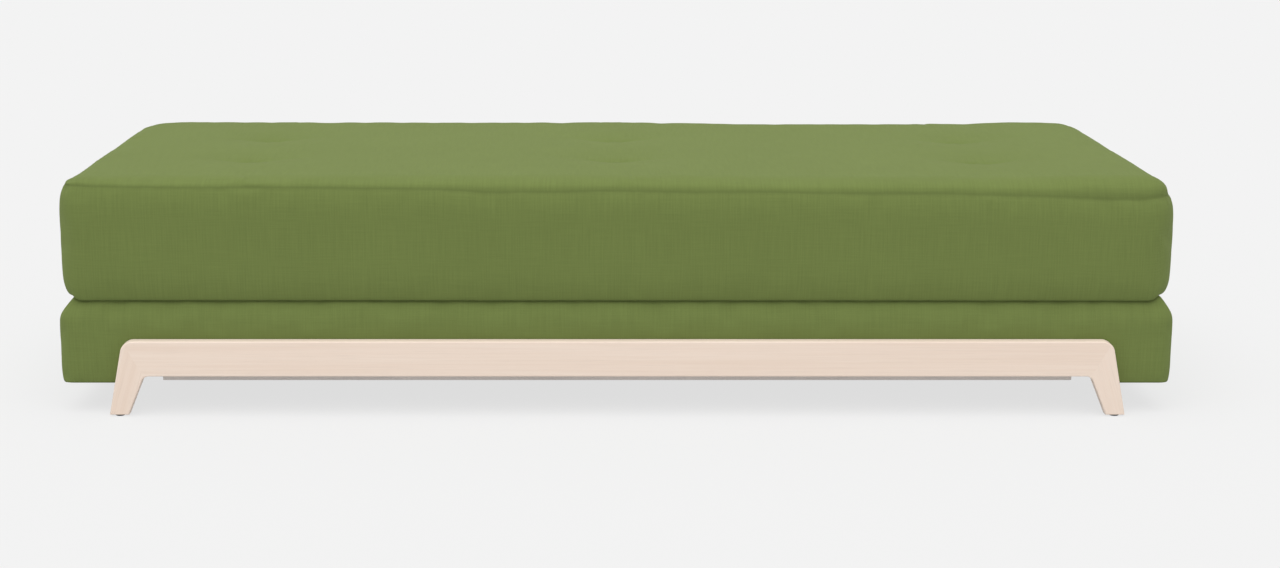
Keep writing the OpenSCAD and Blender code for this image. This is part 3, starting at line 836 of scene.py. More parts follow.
@dataclass
class Mattress:
    """The upper cushion: a cover with a border, six tufts with covered buttons, foam and wadding."""

    body: str = "mattress"
    half_x: float = 1000 * MM
    half_y: float = 400 * MM
    low: float = 216.9 * MM
    thickness: float = 200 * MM
    crown: float = 9.4 * MM
    hollow: float = 3 * MM
    hollow_start: tuple[float, float] = (100 * MM, 300 * MM)
    hollow_end: tuple[float, float] = (720 * MM, 850 * MM)
    edge_round: float = 40 * MM
    slouch: float = 16 * MM
    corners: tuple[float, float, float] = (34 * MM, 50 * MM, 60 * MM)
    rear_slump: float = 55 * MM
    seam_tuck: float = 6 * MM
    seam_roll: float = 38 * MM
    end_tucks: tuple[float, float] = (4 * MM, 3 * MM)
    end_reach: float = 120 * MM
    end_roll: float = 60 * MM
    core_tuck: float = 22 * MM
    side_drop: float = 0.45
    front_reach: float = 80 * MM
    drop_end: float = 30 * MM
    tuft_x: float = 690 * MM
    tuft_y: float = 133 * MM
    tuft_depth: float = 8 * MM
    tuft_long: float = 85 * MM
    tuft_wide: float = 65 * MM
    fold_depth: float = 3.8 * MM
    fold_long: float = 58 * MM
    fold_wide: float = 12 * MM
    fold_bend: float = 3 * MM
    fold_wave: float = 38 * MM
    pleat_count: int = 6
    pleat_height: float = 0.6 * MM
    pleat_reach: float = 24 * MM
    pleat_wide: float = 16 * MM
    button_radius: float = 12 * MM
    button_height: float = 6 * MM
    button_seat: float = 2.2 * MM
    foam_top: float = 157 * MM
    core_inset: float = 8 * MM
    core_lift: float = 2.5 * MM
    core_roll: float = 50 * MM
    wadding_inset: float = 20 * MM
    wadding_lift: float = 1 * MM
    wadding_depth: float = 12 * MM
    wadding_ends: tuple[float, float] = (850 * MM, 1000 * MM)
    cell: float = 16 * MM
    border_cell: float = 12 * MM
    core_cell: float = 80 * MM
    wadding_cell: float = 50 * MM
    swell: float = 1.2 * MM
    top_play: float = 2.6 * MM
    border_play: float = 4.0 * MM
    held_low: float = 30 * MM
    play_rise: float = 40 * MM
    free_low: float = 60 * MM
    seam_width: float = 3.5 * MM
    # Width and strength of the painted shade along the seams
    seam_shade: float = 3 * MM
    seam_painted_shade: float = 0.35
    seam_sink: float = 0.8 * MM
    top_pull: float = 1.4 * MM
    low_pull: float = 1.0 * MM
    pull_reach: float = 60 * MM
    wander: float = 0.5 * MM
    wander_slant: float = 1.3
    wander_waves: tuple[float, float] = (170 * MM, 61 * MM)
    wander_reach: float = 30 * MM
    zip_half: float = 615 * MM
    zip_z: float = 316.9 * MM
    zip_reach: float = 26 * MM
    zip_recess: float = 0.4 * MM

    # How the lower edge swells over the groove: distance up the cloth from its seam, inset, drop
    lower_roll: tuple[tuple[float, float, float], ...] = (
        (-8, 16.5, 0),
        (-3, 16.5, 4.6),
        (0, 16.5, 7.6),
        (3, 13.4, 13.4),
        (8, 8.4, 17.6),
        (16, 4.8, 17.8),
        (28, 1.8, 16.5),
        (40, 0.7, 14),
        (60, 0, 9.5),
        (85, 0, 4),
        (120, 0, 0),
    )
    # Half of a button's section, as shares of its radius and of its height
    button_section: tuple[tuple[float, float], ...] = (
        (0, 1),
        (0.35, 0.97),
        (0.68, 0.84),
        (0.90, 0.60),
        (1, 0.32),
        (0.94, 0.12),
        (0.70, 0.02),
        (0, 0),
    )
    # Where the front seam dips: place along the length, depth, half width
    seam_dips: tuple[tuple[float, float, float], ...] = (
        (-215, 6.5, 75),
        (-100, 3, 60),
        (140, 2.5, 90),
        (480, 2.5, 110),
        (690, 3.5, 110),
        (900, 10.5, 120),
    )

    @property
    def seam(self) -> float:
        """Height of the top seam at the left end."""
        return self.low + self.thickness

    def tufts(self) -> list[tuple[float, float]]:
        """Returns the places of the six tufts in plan."""
        return [(i * self.tuft_x, j * self.tuft_y) for i in (-1, 0, 1) for j in (-1, 1)]

    def sunk(self, x: Array, y: Array) -> Array:
        """Returns how far the seam has sunk at places in plan.

        Args:
            x: Places along the length.
            y: Places across it.

        Returns:
            The depth below the left end's seam.
        """
        depth = self.slouch * (x + self.half_x) / (2 * self.half_x)
        front = smoothstep(-y, 0.0, self.half_y)
        for place, dip, width in self.seam_dips:
            depth += front * dip * MM * bell(x - place * MM, width * MM)
        return depth

    def inset(self, rest: Array, cloth: Array) -> Array:
        """Returns how far the cover is drawn in.

        Args:
            rest: The points on the flat block.
            cloth: Their distance up the cloth from the lower seam.

        Returns:
            The inset of each point.
        """
        way, lower, _ = np.array(self.lower_roll).T * MM
        height = rest[:, 2] - self.low
        upper = np.clip((height - self.thickness + self.seam_roll) / self.seam_roll, 0, 1) ** 2
        ends = np.clip((height - self.thickness + self.end_roll) / self.end_roll, 0, 1) ** 2
        ends *= smoothstep(np.abs(rest[:, 0]), self.half_x - self.end_reach, self.half_x)
        ends *= np.where(rest[:, 0] < 0, *self.end_tucks)
        return np.interp(cloth, way, lower) + self.seam_tuck * upper + ends

    def drop(self, rest: Array, cloth: Array) -> Array:
        """Returns how far the lower edge hangs into the groove, furthest at the front.

        Args:
            rest: The points on the flat block.
            cloth: Their distance up the cloth from the lower seam.

        Returns:
            The drop of each point.
        """
        way, _, depth = np.array(self.lower_roll).T * MM
        front = smoothstep(-rest[:, 1], self.half_y - self.front_reach, self.half_y)
        front *= 1 - smoothstep(np.abs(rest[:, 0]), self.half_x - self.drop_end, self.half_x)
        return np.interp(cloth, way, depth) * (self.side_drop + (1 - self.side_drop) * front)

    def slump(self, rest: Array) -> Array:
        """Returns what the rear corners' radius grows by towards the top."""
        height = rest[:, 2] - self.low
        return self.rear_slump * smoothstep(height, 0.3 * self.thickness, self.thickness) * (rest[:, 1] > 0)

    def dimples(self, x: Array, y: Array) -> Array:
        """Returns the depth of the dimples round the tufts.

        Args:
            x: Places along the length.
            y: Places across it.

        Returns:
            The depth at each place.
        """
        depth = np.zeros_like(x)
        for tuft_x, tuft_y in self.tufts():
            depth += bell(x - tuft_x, self.tuft_long) * bell(y - tuft_y, self.tuft_wide)
        return self.tuft_depth * depth

    def top_rise(self, x: Array, y: Array) -> Array:
        """Returns the top's height above its seam at places in plan.

        Args:
            x: Places along the length.
            y: Places across it.

        Returns:
            The rise, dimples included.
        """
        from_end = self.half_x - np.abs(x)
        from_side = self.half_y - np.abs(y)
        level = np.ones_like(x)
        for distance in (from_end, from_side):
            level *= np.sqrt(1 - (1 - np.clip(distance / self.edge_round, 0, 1)) ** 2)
        hollow = smoothstep(x, *self.hollow_start) * (1 - smoothstep(x, *self.hollow_end))
        crown = self.crown - self.hollow * hollow
        inside = smoothstep(np.minimum(from_end, from_side), 0.0, 2 * self.edge_round)
        return level * (crown + self.sunk(x, y)) - inside * self.dimples(x, y)

    def round_tufts(self, near_x: Sequence[float], near_y: Sequence[float]) -> tuple[list, list]:
        """Repeats distances from a tuft round every tuft.

        Args:
            near_x: Distances along the length.
            near_y: Distances across it.

        Returns:
            The places along the length and those across it.
        """
        fine_x = [i * self.tuft_x + step for i in (-1, 0, 1) for step in near_x]
        fine_y = [j * self.tuft_y + step for j in (-1, 1) for step in near_y]
        return fine_x, fine_y

    def build_cover(self) -> PaddedBlock:
        """Makes the cover: shaped, pressed out, then sewn along its seams and drawn in at the tufts.

        Returns:
            The cover's block.
        """
        block = PaddedBlock(
            "mattress_cover",
            self.half_x,
            self.half_y,
            self.low,
            self.seam,
            self.corners,
            self.cell,
            mm(3, 8, 16, 30),
            graded_lines(self.low, self.seam, self.border_cell, mm(3, 8, 16)),
            self.round_tufts(
                mm(-44, -30, -19, -10, 0, 10, 19, 30, 44),
                mm(-24, -12, -5, 0, 5, 12, 24),
            ),
        )
        block.build()
        rest = block.rest
        x, y, z = rest.T
        height = z - self.low
        edge = block.edge_distance()
        on_top = height > self.thickness - CUT_TOLERANCE
        on_bottom = height < CUT_TOLERANCE
        cloth = np.where(on_bottom, -edge, height)
        free = np.clip(height / self.free_low, 0, 1)
        free *= np.clip((self.thickness - height) / self.seam_roll, 0, 1)
        points = block.placed(self.inset(rest, cloth) + self.swell * free, self.slump(rest))
        points[:, 2] -= self.sunk(x, y) * height / self.thickness + self.drop(rest, cloth)
        points[:, 2] += np.where(on_top, self.top_rise(x, y), 0.0)
        block.shape(points)

        rim = edge < CUT_TOLERANCE
        held = np.where(on_bottom | (on_top & rim), 1.0, np.clip(1 - height / self.held_low, 0, 0.9))
        for tuft_x, tuft_y in self.tufts():
            near = np.hypot(x - tuft_x, y - tuft_y) < self.button_radius
            held = np.where(on_top & near, 1.0, held)
        at_zip = (y > self.half_y - CUT_TOLERANCE) & (np.abs(x) < self.zip_half)
        at_zip &= np.abs(z - self.zip_z) < self.zip_reach
        held = np.where(at_zip, 1.0, held)
        border_play = self.border_play * np.clip(height / self.play_rise, 0.02, 1)
        block.press_out(held, np.where(on_top, self.top_play, border_play))

        points = points_of(block.piece.data)
        self.gather(points, rest, on_top)
        self.sew(points, block, on_top, on_bottom)
        points[at_zip, 1] = np.minimum(points[at_zip, 1], self.half_y - self.zip_recess)
        block.shape(points)
        log.info("%s is %.1f mm high at the most", block.name, points[:, 2].max() / MM)
        # Painted shade along the top and bottom seams, darkest on the seam and fading over a few millimetres
        dark = np.where(on_top | on_bottom, bell(edge, self.seam_shade), 0.0)
        from_seam = np.minimum(np.abs(height - self.thickness), np.abs(height))
        dark = np.maximum(dark, np.where(rim, bell(from_seam, self.seam_shade), 0.0))
        block.mark_seam(self.seam_painted_shade * dark)
        add_subdivision(block.piece)
        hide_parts("mattress_top_panel", "mattress_border", "mattress_bottom_panel")
        return block

    def gather(self, points: Array, rest: Array, on_top: Array) -> None:
        """Presses the crosswise fold and the small pleats that each button pulls into the top.

        Args:
            points: The cover's points, which are moved.
            rest: The same points on the flat block.
            on_top: Which points are on the top.
        """
        for number, (tuft_x, tuft_y) in enumerate(self.tufts()):
            x = rest[:, 0] - tuft_x
            y = rest[:, 1] - tuft_y
            bend = self.fold_bend * np.sin(x / self.fold_wave + number)
            fold = bell(y - bend, self.fold_wide) * bell(x, self.fold_long)
            pleat = np.cos(self.pleat_count * np.arctan2(y, x) + number)
            pleat *= bell(np.hypot(x, y) - self.pleat_reach, self.pleat_wide)
            points[:, 2] -= np.where(on_top, self.fold_depth * fold - self.pleat_height * pleat, 0.0)

    def sew(self, points: Array, block: PaddedBlock, on_top: Array, on_bottom: Array) -> None:
        """Sinks the top and bottom seams and lets the upper one wander a little.

        Args:
            points: The cover's points, which are moved.
            block: The cover's block.
            on_top: Which points are on the top.
            on_bottom: Which points are on the underside.
        """
        rest = block.rest
        height = rest[:, 2] - self.low
        edge = block.edge_distance()
        rim = edge < CUT_TOLERANCE
        from_top = np.maximum(self.thickness - height, edge)
        from_bottom = np.maximum(height, edge)
        top_share = np.where(rim | on_top, bell(from_top, self.seam_width), 0.0)
        low_share = np.where(rim | on_bottom, bell(from_bottom, self.seam_width), 0.0)
        run = rest[:, 0] + self.wander_slant * rest[:, 1]
        long, short = self.wander_waves
        wander = self.wander * (np.sin(run / long) + np.sin(run / short + 1.0))
        points[:, 2] += wander * bell(from_top, self.wander_reach) - self.seam_sink * top_share
        inward = self.top_pull * top_share + self.low_pull * low_share
        for axis, half in enumerate((self.half_x, self.half_y)):
            near_end = half - np.abs(rest[:, axis]) < self.pull_reach
            points[:, axis] -= np.sign(rest[:, axis]) * inward * near_end

    def build_core(self) -> Object:
        """Makes the foam core inside the cover.

        Returns:
            The core.
        """
        block = PaddedBlock(
            "mattress_core",
            self.half_x - self.core_inset,
            self.half_y - self.core_inset,
            self.low + self.core_lift,
            self.low + self.foam_top,
            (self.corners[2],) * 3,
            self.core_cell,
            mm(26),
            [self.low + step for step in mm(8, 20, 36, 60, 110, 150)],
        )
        block.build()
        tuck = self.core_tuck * np.clip(1 - (block.rest[:, 2] - self.low) / self.core_roll, 0, 1) ** 2
        block.shape(block.placed(tuck, self.slump(block.rest)))
        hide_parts("mattress_foam")
        return block.piece

    def build_wadding(self) -> Object:
        """Makes the wadding between the foam and the crowned top.

        Returns:
            The wadding.
        """
        low = self.low + self.foam_top + self.wadding_lift
        high = self.seam - self.wadding_depth
        block = PaddedBlock(
            "mattress_topper",
            self.half_x - self.wadding_inset,
            self.half_y - self.wadding_inset,
            low,
            high,
            (self.corners[2] + self.rear_slump,) * 3,
            self.wadding_cell,
            mm(15),
            [low + step for step in mm(10, 20)],
            self.round_tufts(mm(-60, -30, 0, 30, 60), mm(-50, -25, 0, 25, 50)),
        )
        block.build()
        x, y, z = block.rest.T
        points = block.placed(self.end_tucks[1] * smoothstep(np.abs(x), *self.wadding_ends))
        points[:, 2] += (z - low) / (high - low) * (self.top_rise(x, y) - self.sunk(x, y))
        block.shape(points)
        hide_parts("mattress_wadding")
        return block.piece

    def build_buttons(self, cover: PaddedBlock) -> Object:
        """Makes the six covered buttons, each seated on the cover where its tuft is.

        Args:
            cover: The cover's block, in its final shape.

        Returns:
            One piece with the six buttons.
        """
        mesh = bmesh.new()
        x, y, z = cover.rest.T
        surface = points_of(cover.piece.data)
        on_top = z > self.seam - CUT_TOLERANCE
        radius, height = self.button_radius, self.button_height
        section = [(reach * radius, rise * height) for reach, rise in self.button_section]
        for tuft_x, tuft_y in self.tufts():
            near = on_top & (np.hypot(x - tuft_x, y - tuft_y) < radius)
            seat = float(surface[near, 2].mean()) - self.button_seat
            lathe(mesh, Vector((tuft_x, tuft_y, seat)), section, 20)
        map_flat(mesh)
        piece = new_piece("covered_buttons", mesh)
        add_subdivision(piece)
        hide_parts("tuft_buttons")
        return piece

    def build(self) -> None:
        """Makes, dresses and fixes every piece of the mattress."""
        cover = self.build_cover()
        pieces = [cover.piece, self.build_core(), self.build_wadding(), self.build_buttons(cover)]
        for piece, finish in zip(pieces, (COVER_CLOTH, FOAM, WADDING, BUTTON_CLOTH)):
            dress(piece, finish.material())
        fix(self.body, *pieces)


# Base


@dataclass
class Base:
    """The lower block: a cover over a padded box, foam under its top, and a lining underneath."""

    body: str = "base"
    half_x: float = 1000 * MM
    half_y: float = 400 * MM
    hem: float = 67.6 * MM
    top: float = 213.2 * MM
    corner: float = 23 * MM
    end_bulges: tuple[float, float] = (8.5 * MM, 4.5 * MM)
    bulge_start: float = 930 * MM
    edge_tuck: float = 22 * MM
    roll_height: float = 42 * MM
    roll_power: float = 1.8
    hem_tuck: float = 3.5 * MM
    hem_roll: float = 40 * MM
    hem_drop: float = 12 * MM
    hem_free: float = 880 * MM
    hem_blend: float = 14 * MM
    hem_hang: float = 60 * MM
    hem_return: tuple[float, float] = (1 * MM, 13 * MM)
    # Width of the painted shade along the hem seam
    hem_shade: float = 2.5 * MM
    hem_width: float = 34 * MM
    crown: float = 3.4 * MM
    crown_inset: float = 70 * MM
    cover_thickness: float = 1.6 * MM
    swell: float = 2.5 * MM
    side_play: float = 4 * MM
    rail_high: float = 144 * MM
    rail_clear: float = 50 * MM
    cell: float = 18 * MM
    side_cell: float = 10 * MM
    foam_cell: float = 70 * MM
    foam_inset: float = 9 * MM
    foam_lift: float = 0.5 * MM
    foam_depth: float = 3 * MM
    box_inset: float = 15 * MM
    box_top: float = 163.5 * MM
    wrap_low: float = 93.5 * MM
    wrap_inset: float = 6 * MM
    wrap_gap: float = 0.5 * MM
    wrap_drop: float = 4 * MM
    wrap_round: float = 3 * MM
    lining_z: float = 66.8 * MM
    lining_inset: float = 14 * MM
    lining_sag: float = 3.0 * MM
    lining_margin: float = 60 * MM
    lining_reach: tuple[float, float] = (400 * MM, 260 * MM)
    lining_ripple: float = 0.5 * MM
    lining_waves: tuple[float, float] = (70 * MM, 55 * MM)
    lining_thickness: float = 0.5 * MM

    def roll(self, z: Array) -> Array:
        """Returns how far the upper edge is drawn in at each height."""
        return self.edge_tuck * np.clip(1 - (self.top - z) / self.roll_height, 0, 1) ** self.roll_power

    def build_cover(self) -> PaddedBlock:
        """Makes the cover: shaped, pressed out where nothing holds it, and open underneath.

        Returns:
            The cover's block.
        """
        block = PaddedBlock(
            "base_cover",
            self.half_x,
            self.half_y,
            self.hem,
            self.top,
            (self.corner,) * 3,
            self.cell,
            mm(4, 10, 20, 34),
            graded_lines(self.hem, self.top, self.side_cell, mm(2, 5, 10)),
        )
        block.build()
        x, y, z = block.rest.T
        height, depth = z - self.hem, self.top - z
        on_top = depth < CUT_TOLERANCE
        on_bottom = height < CUT_TOLERANCE
        edge = block.edge_distance()
        inset = self.roll(z) + self.hem_tuck * np.clip(1 - height / self.hem_roll, 0, 1) ** 2
        facing_rail = (np.abs(y) > self.half_y - CUT_TOLERANCE) & (z < self.rail_high)
        facing_rail &= np.abs(x) < self.half_x - self.rail_clear
        held = np.where(on_top | on_bottom | facing_rail, 1.0, 0.0)
        free = (1 - held) * np.clip(depth / self.roll_height, 0, 1) * np.clip(height / self.hem_roll, 0, 1)
        points = block.placed(inset + self.swell * free)
        left, right = self.end_bulges
        bulge = np.where(x < 0, -left, right) * smoothstep(np.abs(x), self.bulge_start, self.half_x)
        points[:, 0] += bulge * smoothstep(depth, 0, self.roll_height)
        side = np.clip(1 - height / self.hem_hang, 0, 1)
        hanging = np.where(on_bottom, 1 - smoothstep(edge, *self.hem_return), side)
        past_angle = smoothstep(np.abs(x), self.hem_free - self.hem_blend, self.hem_free + self.hem_blend)
        points[:, 2] -= self.hem_drop * hanging * past_angle
        u = np.clip(np.abs(x) / (self.half_x - self.crown_inset), 0, 1)
        v = np.clip(np.abs(y) / (self.half_y - self.crown_inset), 0, 1)
        points[:, 2] += np.where(on_top, self.crown * (1 - u**4) * (1 - v**4), 0.0)
        block.shape(points)
        block.press_out(held, np.full(len(held), self.side_play))

        # Painted shade along the hem seam at the lower edge, at half strength
        block.mark_seam(0.5 * bell(np.maximum(height, edge), self.hem_shade))
        self.open_underside(block)
        add_thickness(block.piece, self.cover_thickness, -1.0)
        add_subdivision(block.piece)
        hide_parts("base_side_cover", "base_top_panel")
        return block

    def open_underside(self, block: PaddedBlock) -> None:
        """Removes the underside inside the hem.

        Args:
            block: The base's cover.
        """
        mesh = bmesh.new()
        mesh.from_mesh(block.piece.data)
        inner_x, inner_y = self.half_x - self.hem_width, self.half_y - self.hem_width
        gone = []
        for face in mesh.faces:
            x, y, _ = face.calc_center_median()
            if face.normal.z < -0.9 and abs(x) < inner_x and abs(y) < inner_y:
                gone.append(face)
        bmesh.ops.delete(mesh, geom=gone, context="FACES")
        mesh.to_mesh(block.piece.data)
        mesh.free()

    def build_foam(self) -> Object:
        """Makes the foam that lies on the slats.

        Returns:
            The foam.
        """
        high = self.top - self.foam_depth
        block = PaddedBlock(
            "base_pad",
            self.half_x - self.foam_inset,
            self.half_y - self.foam_inset,
            self.box_top + self.foam_lift,
            high,
            (self.corner,) * 3,
            self.foam_cell,
            mm(10, 24),
            [high - step for step in mm(5, 12, 20, 30, 40)],
        )
        block.build()
        block.shape(block.placed(self.roll(block.rest[:, 2])))
        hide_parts("base_foam")
        return block.piece

    def build_wrap(self) -> Object:
        """Makes the padding round the boards: a band lofted between two rounded outlines.

        Returns:
            The padding.
        """
        mesh = bmesh.new()
        outer = self.add_outline(mesh)
        band = self.box_inset - self.wrap_inset - self.wrap_gap
        ring = bmesh.ops.inset_region(
            mesh, faces=[outer], thickness=band, use_even_offset=True, use_boundary=True
        )
        bmesh.ops.delete(mesh, geom=[outer], context="FACES_ONLY")
        extrude(mesh, ring["faces"], (0, 0, self.box_top - self.wrap_low - self.wrap_drop))
        bmesh.ops.recalc_face_normals(mesh, faces=mesh.faces)
        cut_levels(mesh, AXIS_X, mm(*range(-900, 901, 100)))
        cut_levels(mesh, AXIS_Y, mm(*range(-300, 301, 100)))
        rims = [e for e in mesh.edges if len(e.link_faces) == 2 and e.calc_face_angle() > math.radians(60)]
        bevel(mesh, rims, self.wrap_round, 3)
        piece = new_piece("board_padding", mesh)
        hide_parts("box_wrap")
        return piece

    def add_outline(self, mesh: BMesh) -> BMFace:
        """Adds a flat face with round corners at the padding's lower edge.

        Args:
            mesh: The bmesh to add to.

        Returns:
            The face.
        """
        half_x, half_y = self.half_x - self.wrap_inset, self.half_y - self.wrap_inset
        signs = ((-1, -1), (1, -1), (1, 1), (-1, 1))
        verts = [mesh.verts.new((sx * half_x, sy * half_y, self.wrap_low)) for sx, sy in signs]
        mesh.faces.new(verts)
        bevel(mesh, verts, self.corner - self.wrap_inset, 6, "VERTICES")
        mesh.faces.ensure_lookup_table()
        return mesh.faces[0]

    def build_lining(self) -> Object:
        """Makes the dust cover: bonded felt stapled under the box, sagging a little.

        Returns:
            The lining.
        """
        half_x, half_y = self.half_x - self.lining_inset, self.half_y - self.lining_inset
        piece = new_piece("lining_cloth", level_grid((80, 32), (half_x, half_y), AXIS_Z * self.lining_z))
        points = points_of(piece.data)
        sag, ripple = self.lining_sag, self.lining_ripple
        halves = (half_x, half_y)
        for places, half, reach, wave in zip(points.T, halves, self.lining_reach, self.lining_waves):
            inside = smoothstep(half - np.abs(places), self.lining_margin, reach)
            sag = sag * inside
            ripple = ripple * inside * np.sin(places / wave)
        points[:, 2] -= sag + ripple
        move_points(piece.data, points)
        add_thickness(piece, self.lining_thickness, 0.0)
        add_subdivision(piece)
        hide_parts("dust_cover")
        return piece

    def build(self) -> None:
        """Makes, dresses and fixes every soft piece of the base."""
        pieces = [self.build_cover().piece, self.build_foam(), self.build_wrap(), self.build_lining()]
        for piece, finish in zip(pieces, (COVER_CLOTH, FOAM, WADDING, LINING)):
            dress(piece, finish.material())
        fix(self.body, *pieces)


# Fold strip


class StripHalf(Enum):
    """The two halves of the cloth strip that hinges the mattress, by the name of their node and body."""

    LOWER = "fold_strip_lower"
    UPPER = "fold_strip_upper"


@dataclass
class FoldStrip:
    """One half of the strip, folded flat in the front of the groove."""

    half: StripHalf
    half_x: float = 930 * MM
    outer_y: float = -378 * MM
    inner_y: float = -340.3 * MM
    thickness: float = 1.2 * MM
    hem_round: float = 0.35 * MM
    first_z: float = 213.6 * MM
    second_z: float = 215.3 * MM

    def build(self) -> None:
        """Makes, dresses and fixes the half strip."""
        name = self.half.value
        low = self.first_z if self.half is StripHalf.LOWER else self.second_z
        depth = self.inner_y - self.outer_y
        middle = Vector((0, (self.outer_y + self.inner_y) / 2, low))
        mesh = level_grid((93, 4), (self.half_x, depth / 2), middle)
        piece = new_piece(name.replace("fold_strip", "fold_cloth"), mesh)
        add_thickness(piece, self.thickness, 1.0)
        hem = piece.modifiers.new("hem", "BEVEL")
        hem.width = self.hem_round
        hem.segments = 2
        hem.limit_method = "ANGLE"
        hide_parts(name)
        dress(piece, COVER_CLOTH.material())
        fix(name, piece)


# Trestles


class Side(Enum):
    """The two long sides, as the sign of Y."""

    FRONT = -1
    REAR = 1


@dataclass
class Trestle:
    """A rail with two splayed legs, mitred together, and the glides under its feet."""

    side: Side
    body: str = "base"
    half_length: float = 1000 * MM
    foot_inset: float = 84 * MM
    foot_width: float = 34 * MM
    outer_splay: float = math.radians(11.3)
    inner_splay: float = math.radians(22.5)
    rail_z: float = 74 * MM
    rail_height: float = 65 * MM
    thickness: float = 22 * MM
    back_y: float = 400.3 * MM
    glide_height: float = 3 * MM
    corner_radius: float = 22 * MM
    web_radius: float = 12 * MM
    edge_radius: float = 2.6 * MM
    rebate_depth: float = 3.3 * MM
    rebate_half: float = 820.4 * MM
    rebate_top: float = 123.3 * MM

    # Half of a glide's section, in millimetres: radius and height
    glide_section: tuple[tuple[float, float], ...] = (
        (0, 0.2),
        (5.5, 0.0),
        (7.6, 0.3),
        (8.7, 1.2),
        (9.0, 2.4),
        (8.8, 3.0),
        (2.5, 3.0),
        (2.5, 14.0),
        (1.6, 15.0),
        (0, 15.0),
    )

    @property
    def prefix(self) -> str:
        """Front or rear, for names."""
        return self.side.name.lower()

    @property
    def top(self) -> float:
        """Height of the rail's upper edge."""
        return self.rail_z + self.rail_height

    def outer_x(self, z: float) -> float:
        """Returns where a leg's outer edge is at a height."""
        return self.half_length - self.foot_inset - z * math.tan(self.outer_splay)

    def inner_x(self, z: float) -> float:
        """Returns where a leg's inner edge is at a height."""
        return self.half_length - self.foot_inset - self.foot_width - z * math.tan(self.inner_splay)

    def outline(self) -> BMesh:
        """Draws rail and legs as one flat face at y = 0, with round corners and fillets.

        Returns:
            A bmesh with the face.
        """
        right = [
            (self.outer_x(self.top), self.top),
            (self.outer_x(self.glide_height), self.glide_height),
            (self.inner_x(self.glide_height), self.glide_height),
            (self.inner_x(self.rail_z), self.rail_z),
        ]
        left = [(-x, z) for x, z in reversed(right)]
        mesh = bmesh.new()
        verts = [mesh.verts.new((x, 0, z)) for x, z in [*right, *left]]
        mesh.faces.new(verts)
        outer_angle = math.pi / 2 + self.outer_splay
        inner_angle = math.pi / 2 + self.inner_splay
        for corners, radius, angle in (
            ([verts[0], verts[7]], self.corner_radius, outer_angle),
            ([verts[3], verts[4]], self.web_radius, inner_angle),
        ):
            bevel(mesh, corners, radius / math.tan(angle / 2), 8, "VERTICES")
        return mesh

    def mitre(self, sign: float) -> tuple[Vector, Vector]:
        """Finds the line of a mitre between rail and leg.

        Args:
            sign: 1 for the right-hand mitre, -1 for the left.

        Returns:
            The mitre's lower end and its direction.
        """
        inner = Vector((sign * self.inner_x(self.rail_z), 0, self.rail_z))
        outer = Vector((sign * self.outer_x(self.top), 0, self.top))
        return inner, (outer - inner).normalized()

    def split(self, mesh: BMesh, sign: int, keep_leg: bool) -> None:
        """Cuts the outline along a mitre and keeps one part.

        Args:
            mesh: The outline.
            sign: 1 for the right-hand mitre, -1 for the left.
            keep_leg: Whether the leg's part stays, and not the rail's.
        """
        inner, along = self.mitre(sign)
        bmesh.ops.bisect_plane(
            mesh,
            geom=mesh.verts[:] + mesh.edges[:] + mesh.faces[:],
            dist=CUT_TOLERANCE,
            plane_co=inner,
            plane_no=(sign * along.z, 0, -sign * along.x),
            clear_outer=not keep_leg,
            clear_inner=keep_leg,
        )

    def thicken(self, mesh: BMesh, rebated: bool) -> None:
        """Gives the flat outline its thickness, with the rebate for the steel angle at the back.

        Args:
            mesh: The flat outline at y = 0, which becomes the front face.
            rebated: Whether the back is rebated.
        """
        first = self.thickness - (self.rebate_depth if rebated else 0.0)
        backs = extrude(mesh, mesh.faces[:], (0, first, 0))
        if rebated:
            raised = []
            for face in backs:
                middle = face.calc_center_median()
                if abs(middle.x) > self.rebate_half or middle.z > self.rebate_top:
                    raised.append(face)
            extrude(mesh, raised, (0, self.rebate_depth, 0))
            bmesh.ops.delete(mesh, geom=raised, context="FACES")
        bmesh.ops.recalc_face_normals(mesh, faces=mesh.faces)

    def soften(self, mesh: BMesh) -> None:
        """Rounds the long edges of front and back, but not the mitres, the feet or the rebate.

        Args:
            mesh: The thickened board, front at y = 0.
        """
        mesh.normal_update()
        chosen = []
        for edge in mesh.edges:
            if len(edge.link_faces) != 2 or edge.calc_face_angle() < math.radians(60):
                continue
            walls = [f for f in edge.link_faces if abs(f.normal.y) < 0.5]
            depths = [v.co.y for v in edge.verts]
            in_front = max(depths) < CUT_TOLERANCE
            at_back = min(depths) > self.thickness - CUT_TOLERANCE
            if len(walls) != 1 or not (in_front or at_back):
                continue
            normal, middle = walls[0].normal, walls[0].calc_center_median()
            if not self.is_mitre(normal, middle) and not (at_back and self.is_rebate(normal, middle)):
                chosen.append(edge)
        bevel(mesh, chosen, self.edge_radius, 3)
        for edge in mesh.edges:
            edge.smooth = len(edge.link_faces) == 2 and edge.calc_face_angle() < math.radians(50)

    def is_mitre(self, normal: Vector, middle: Vector) -> bool:
        """Tells whether a board's wall, with this normal and middle, lies in a mitre plane."""
        _, along = self.mitre(math.copysign(1.0, middle.x))
        return abs(normal.dot(along)) < 0.01 and abs(normal.y) < 0.01

    def is_rebate(self, normal: Vector, middle: Vector) -> bool:
        """Tells whether a board's wall is an end or the upper side of the rebate.

        Args:
            normal: The wall's normal.
            middle: The wall's middle.

        Returns:
            True for a wall of the rebate.
        """
        if abs(abs(middle.x) - self.rebate_half) < CUT_TOLERANCE:
            return True
        level = abs(normal.z) > 0.5 and self.rail_z + MM < middle.z < self.rebate_top + CUT_TOLERANCE
        return level and abs(middle.x) < self.rebate_half

    def stand(self, mesh: BMesh) -> None:
        """Moves a board from y = 0 to its side, front face outwards.

        Args:
            mesh: The board.
        """
        outside = self.back_y + self.thickness
        bmesh.ops.translate(mesh, verts=mesh.verts, vec=(0, -outside, 0))
        if self.side is Side.REAR:
            bmesh.ops.scale(mesh, verts=mesh.verts, vec=(1, -1, 1))
        bmesh.ops.recalc_face_normals(mesh, faces=mesh.faces)

